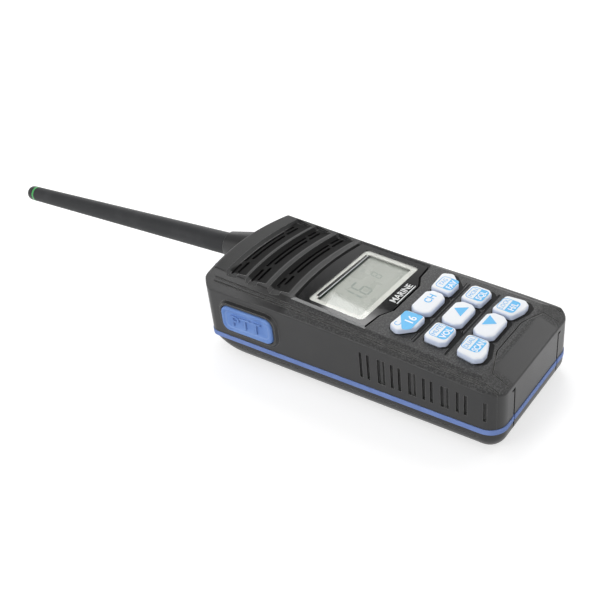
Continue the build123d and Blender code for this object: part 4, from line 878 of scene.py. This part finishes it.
speaker_cone, shader, place = start_finish("speaker_cone", IOR=1.4)
rounded, edge = round_edges(place, 0.2)
fibres = place.stretched(1.0, 2.6, 1.0).clouds(0.5, 4.0, 0.7)
lay(
    shader,
    Base_Color=(fibres * 0.5).mix(paint(24, 24, 25), paint(56, 55, 53)),
    Roughness=0.65 + 0.25 * fibres,
    Normal=fibres.relief(0.05, rounded),
)
dress(speaker_cone, "speaker_cone")
magnet_steel = sheet_metal("magnet_steel", (120, 122, 126), (84, 84, 86), 0.34, (4, 4, 0.6), 0.25)
dress(magnet_steel, "speaker_magnet")


def moulded_plastic(name, colour, rubbed, grain_height, radius=0.25, polish=0.36):
    """Moulded plastic with a fine grain, rubbed lighter along its edges."""
    material, shader, place = start_finish(name, IOR=1.46)
    rounded, edge = round_edges(place, radius)
    grain = place.clouds(grain_size, 1.0)
    handled = place.clouds(11, 4.0, 0.6)
    worn = edge * place.clouds(2.2, 3.0).ease(0.3, 0.75)
    lay(
        shader,
        Base_Color=(0.6 * worn + 0.2 * handled.ease(0.4, 0.9)).mix(paint(*colour), paint(*rubbed)),
        Roughness=polish + 0.12 * grain + 0.1 * handled,
        Normal=grain.relief(grain_height, rounded),
    )
    return material


dress(moulded_plastic("speaker_black", (30, 30, 31), (60, 60, 60), 0.03), "speaker_frame")

# ---- Push-to-talk button ----
# The blue rubber button stands in its raised black frame. A rounded rim is moulded round its face,
# with the letters standing in the sunk field, and thumbs have polished both a little paler.
ptt_colour = (94, 131, 198)
ptt_rub_colour = (140, 172, 226)
ptt_middle = Vector((-33.0, 43.7, 20.5))
ptt_field_depth = 0.7
ptt_letter_height = 5.4
ptt_letter_spread = 1.3
# The rim's steps inwards: how far each draws in along the radio and up it, and how deep it goes.
ptt_rim_steps = ((0.97, 0.93, 0), (0.95, 0.87, 0.35), (0.985, 0.97, ptt_field_depth - 0.35), (0.9, 0.8, 0))

ptt_blue = moulded_rubber("ptt_blue", ptt_colour, ptt_rub_colour, 0.7, 0.45)
dress(ptt_blue, "ptt_button")
side_on = Matrix(((0, 0, -1, 0), (-1, 0, 0, 0), (0, 1, 0, 0), (0, 0, 0, 1)))
on_button = Matrix.Translation(ptt_middle) @ side_on

button = copy_solid("ptt_button")
front_x = ptt_middle.x + 0.02
front = [face for face in button.faces if all(corner.co.x < front_x for corner in face.verts)]
bmesh.ops.delete(button, geom=front, context="FACES")
loop = [edge for edge in button.edges if edge.is_boundary]
for along, upward, sink in ptt_rim_steps:
    loop = draw_out(button, loop, ptt_middle, (1, along, upward), (sink, 0, 0))
bmesh.ops.holes_fill(button, edges=loop)
bmesh.ops.recalc_face_normals(button, faces=button.faces[:])
ptt_word = letters("PTT", ptt_letter_height, 0.05, ptt_field_depth)
spread = Matrix.Scale(ptt_letter_spread, 4, (1, 0, 0))
stamp(button, ptt_word, on_button @ spread @ Matrix.Translation((0, 0, -ptt_field_depth / 2)))
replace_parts(add_piece("ptt_face", button, "ptt", "ptt_blue", ptt_blue), "ptt_button")

# ---- Antenna ----
# The whip is a flexible coil overmoulded in black rubber, satin along its length, with a green ring
# and a gloss cap at its end. Its foot is a turned brass connector screwed into a brass socket.
whip_colour = (36, 37, 39)
whip_dust_colour = (86, 87, 89)

antenna_rubber, shader, place = start_finish("antenna_rubber", IOR=1.38)
rounded, edge = round_edges(place, 0.4)
drawn = place.stretched(1.6, 0.12, 1.6).clouds(1.0, 3.0)
skin = place.clouds(0.5, 2.0)
dusty = place.clouds(12, 3.0).ease(0.4, 0.8)
dull_parts = 0.15 * dusty + 0.2 * drawn * skin + 0.5 * edge
lay(
    shader,
    Base_Color=dull_parts.mix(paint(*whip_colour), paint(*whip_dust_colour)),
    Roughness=0.46 + 0.14 * skin + 0.1 * drawn,
    Normal=(0.5 * skin + 0.5 * drawn).relief(0.012, rounded),
)
dress(antenna_rubber, "antenna_whip")
dress(moulded_plastic("ring_green", (62, 170, 86), (120, 204, 134), 0.01, 0.2, 0.24), "antenna_ring")
dress(moulded_plastic("tip_black", (22, 24, 24), (64, 66, 66), 0.004, 0.3, 0.1), "antenna_tip")
dress(moulded_plastic("lead_black", (24, 24, 25), (50, 50, 50), 0.02), "antenna_lead")
dress(
    sheet_metal("brass", (196, 160, 92), (150, 118, 66), 0.24, (6, 0.6, 6)),
    "antenna_connector",
    "antenna_socket",
    "lock_insert",
    "shell_inserts",
    "clip_inserts",
)

# ---- Accessory jack ----
# The jack's socket is moulded in black round its contacts, and a knurled screw cap closes it.
dress(moulded_plastic("jack_black", (26, 26, 27), (64, 64, 64), 0.02), "jack_socket", "contact_block")
dress(moulded_plastic("cap_black", (34, 34, 35), (80, 80, 80), 0.03, 0.3, 0.34), "jack_cap")

# ---- Battery pack ----
# The pack is a black moulded box with foil-wrapped cells and gilded contacts, sealed by a rubber ring.
# A blank satin label fills the recess on its back, with a plain ruled edge, over the finger lines.
label_half = 16.8
label_low = 36.95
label_high = 71.05
label_depth = 0.4
label_thickness = 0.15
label_inset = 0.93
label_colour = (122, 124, 126)
label_worn_colour = (96, 98, 100)
mark_size = 2.0
mark_side = 8.0
mark_v = 84.6

battery_black = moulded_plastic("battery_black", case_colour, (84, 84, 84), 0.05, 0.35, 0.4)
gold_contact = sheet_metal("gold_contact", (214, 178, 96), (168, 132, 70), 0.2, (6, 0.8, 6))
dress(battery_black, "battery_case", "battery_lid")
dress(gold_contact, "battery_contacts", "charge_pads")

cell_foil, shader, place = start_finish("cell_foil", Metallic=0.85)
rounded, edge = round_edges(place, 0.4)
creases = place.clouds(5.0, 5.0, 0.7)
lay(
    shader,
    Base_Color=(creases * 0.5).mix(paint(188, 190, 194), paint(140, 142, 148)),
    Roughness=0.25 + 0.25 * creases,
    Normal=creases.relief(0.25, rounded),
)
dress(cell_foil, "battery_cells")


def on_back(x, v, depth):
    """Places a drawing on the flat back, reading upright towards the antenna when seen from behind."""
    return Matrix.Translation((x, v - half_length, depth)) @ Matrix.Rotation(pi, 4, "Y")


label_satin, shader, place = start_finish("label_satin", Metallic=0.25)
rounded, edge = round_edges(place, 0.08)
brushed = place.stretched(0.25, 7, 1).clouds(1.0, 2.0)
handled = place.clouds(9, 4.0, 0.6)
worn = 0.35 * brushed + 0.3 * handled.ease(0.45, 0.9)
lay(
    shader,
    Base_Color=worn.mix(paint(*label_colour), paint(*label_worn_colour)),
    Roughness=0.38 + 0.16 * brushed + 0.1 * handled,
    Normal=brushed.relief(0.006, rounded),
)
label_line = thin_paint("label_line", (188, 190, 190), (160, 162, 162), 0.6, 2.0, 0.35, 0.15, 0.004)
label = bmesh.new()
label_high_half = (label_high - label_low) / 2
label_corners = rectangle(-label_half, -label_high_half, label_half, label_high_half)
label_place = on_back(0, (label_low + label_high) / 2, label_depth)
stamp(label, plate(label_corners, 2.6, label_thickness), label_place)
ruled = [(label_inset * x, label_inset * y) for x, y in label_corners]
on_label = label_place @ Matrix.Translation((0, 0, label_thickness))
stamp(label, frame_line(ruled, 2.0, 0.3, 0.02), on_label, 1)
add_piece("battery_label", label, "battery", "battery_black", label_satin, label_line)
poles = bmesh.new()
for text, x in (("+", -mark_side), ("-", mark_side)):
    stamp(poles, letters(text, mark_size, 0.05, 0.1), on_back(x, mark_v, 0.06))
add_piece("battery_pole_marks", poles, "battery", "battery_black", battery_black)

# ---- Screws ----
# Six cross-head screws hold the casings, driven from the back into brass inserts.
# The pack's own screw has a coin slot in its head, and both are passivated steel.
screw_spots = ((26.4, 14), (26.4, 90), (19.5, 126.2))
screw_seat_low = 1.8
screw_head_radius = 1.8
screw_head_height = 1.4
screw_head_chamfer = 0.25
screw_shaft_radius = 0.95
screw_point = 0.4
screw_end = 16.2
cross_arm = 1.05
cross_half_width = 0.24
cross_depth = 0.9

screw_steel = sheet_metal("screw_steel", (176, 178, 180), (130, 130, 128), 0.26, (5, 5, 0.8))
dress(screw_steel, "lock_screw")

screw = bmesh.new()
rim_radius = screw_head_radius - screw_head_chamfer
shaft_length = screw_end - screw_point - screw_seat_low - screw_head_height
bmesh.ops.create_circle(screw, segments=24, radius=rim_radius)
rim = screw.edges[:]
for vertex in screw.verts:
    vertex.co.z = screw_seat_low
axis = Vector((0, 0, 0))
loop = rim
for scale, rise in (
    (screw_head_radius / rim_radius, screw_head_chamfer),
    (1, screw_head_height - screw_head_chamfer),
    (screw_shaft_radius / screw_head_radius, 0),
    (1, shaft_length),
    (0.6, screw_point),
):
    loop = draw_out(screw, loop, axis, (scale, scale, 1), (0, 0, rise))
bmesh.ops.holes_fill(screw, edges=loop)
half = cross_half_width
quarter = [(cross_arm, -half), (cross_arm, half), (half, half)]
cross_corners = []
for turn in range(4):
    cross_corners += quarter
    quarter = [(-y, x) for x, y in quarter]
cross = screw.faces.new([screw.verts.new((x, y, screw_seat_low)) for x, y in cross_corners])
mouth = list(cross.edges)
bmesh.ops.delete(screw, geom=[cross], context="FACES_ONLY")
bmesh.ops.bridge_loops(screw, edges=rim + mouth)
floor_edges = draw_out(screw, mouth, axis, (0.6, 0.6, 1), (0, 0, cross_depth))
bmesh.ops.holes_fill(screw, edges=floor_edges)
bmesh.ops.recalc_face_normals(screw, faces=screw.faces[:])
screw_mesh = to_mesh(screw, "case_screw")
screws = bmesh.new()
for number, (x, v) in enumerate(screw_spots):
    for side in (-1, 1):
        spot = Matrix.Translation((side * x, v - half_length, 0))
        turn = Matrix.Rotation(0.7 * number + 0.4 * side, 4, "Z")
        stamp(screws, screw_mesh.copy(), spot @ turn)
case_screws = add_piece("case_screws", screws, "radio", "screw_steel", screw_steel)
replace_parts(case_screws, "shell_screws")

# ---- Table and light ----
# The radio lies on a white sweep, under soft lamps and in front of a bright backdrop all round it.
# The backdrop ends less than half way up, so that the gloss parts mirror a dark ceiling above it.
table_half = 3000
table_drop = 0.05
paper_colour = (0.62, 0.62, 0.62, 1)
paper_glow = 0.58
backdrop_top = (0.57, 0.64)
ceiling_darkness = 0.86

floor_form = bmesh.new()
bmesh.ops.create_grid(floor_form, x_segments=8, y_segments=8, size=table_half)
bmesh.ops.translate(floor_form, vec=(0, 0, -table_drop), verts=floor_form.verts[:])
bmesh.ops.scale(floor_form, vec=(mm, mm, mm), verts=floor_form.verts[:])
floor_mesh = bpy.data.meshes.new("table")
floor_form.to_mesh(floor_mesh)
floor_form.free()
table = bpy.data.objects.new("table", floor_mesh)
bpy.context.scene.collection.objects.link(table)

table_white = bpy.data.materials.new("table_white")
table_white.use_nodes = True
table_white.node_tree.nodes.remove(table_white.node_tree.nodes["Principled BSDF"])
sheet = Tone(table_white.node_tree)
seen = sheet.node("LightPath", output="Is Camera Ray") + sheet.node("LightPath", output="Is Glossy Ray")
seen = seen + sheet.node("LightPath", output="Is Transmission Ray")
paper = sheet.node("BsdfDiffuse", None, {"Color": paper_colour})
glow = sheet.node("Emission", None, {"Color": (1, 1, 1, 1), "Strength": paper_glow * (seen > 0.5)})
finish_with(table_white, sheet.node("AddShader", None, {0: paper, 1: glow}))
table.data.materials.append(table_white)

world = bpy.data.worlds.new("studio")
bpy.context.scene.world = world
world.use_nodes = True
sky = Tone(world.node_tree)
height = sky.node("TexCoord", output="Generated").part("Z")
ceiling = height.ease(*backdrop_top)
glow = 1 - ceiling_darkness * ceiling
looked_at = sky.node("LightPath", output="Is Camera Ray")
looked_at = looked_at + sky.node("LightPath", output="Is Transmission Ray")
strength = looked_at + (1 - looked_at) * glow
world.node_tree.links.new(strength.socket, world.node_tree.nodes["Background"].inputs["Strength"])
world.node_tree.nodes["Background"].inputs["Color"].default_value = (1, 1, 1, 1)


def soft_lamp(name, place, aim, wide, high, power, turn=0.0):
    """A flat soft light at a place, facing another, turned about its own axis."""
    lamp = bpy.data.lights.new(name, "AREA")
    lamp.shape = "RECTANGLE"
    lamp.size = wide
    lamp.size_y = high
    lamp.energy = power
    holder = bpy.data.objects.new(name, lamp)
    facing = (Vector(aim) - Vector(place)).to_track_quat("-Z", "Y").to_matrix().to_4x4()
    holder.matrix_world = Matrix.Translation(place) @ facing @ Matrix.Rotation(turn, 4, "Z")
    holder.visible_camera = False
    bpy.context.scene.collection.objects.link(holder)


soft_lamp("overhead", (-0.08, 0.28, 1.0), (0, 0, 0), wide=0.55, high=0.6, power=1.5)
soft_lamp("high_strip", (0.33, 0.42, 0.95), (0, 0, 0.02), wide=1.1, high=0.34, power=0.9)
soft_lamp("tail_card", (0.92, -0.52, 0.78), (0, -0.07, 0.03), wide=0.6, high=0.42, power=2.0)
soft_lamp(
    "window_card",
    (0.641, 0.336, 0.913),
    (0.167, 0.08, 0.071),
    wide=0.35,
    high=0.4,
    power=2.2,
    turn=radians(159.0),
)
soft_lamp("near_fill", (-0.95, -0.5, 0.28), (0, 0, 0.02), wide=0.8, high=0.5, power=1.3)
soft_lamp("side_strip", (-0.86, 0.38, 0.52), (0, 0, 0.02), wide=0.6, high=0.26, power=2.4)
soft_lamp("backdrop_light", (0.95, 0.5, 0.36), (0, 0, 0.03), wide=1.3, high=0.62, power=3.6)
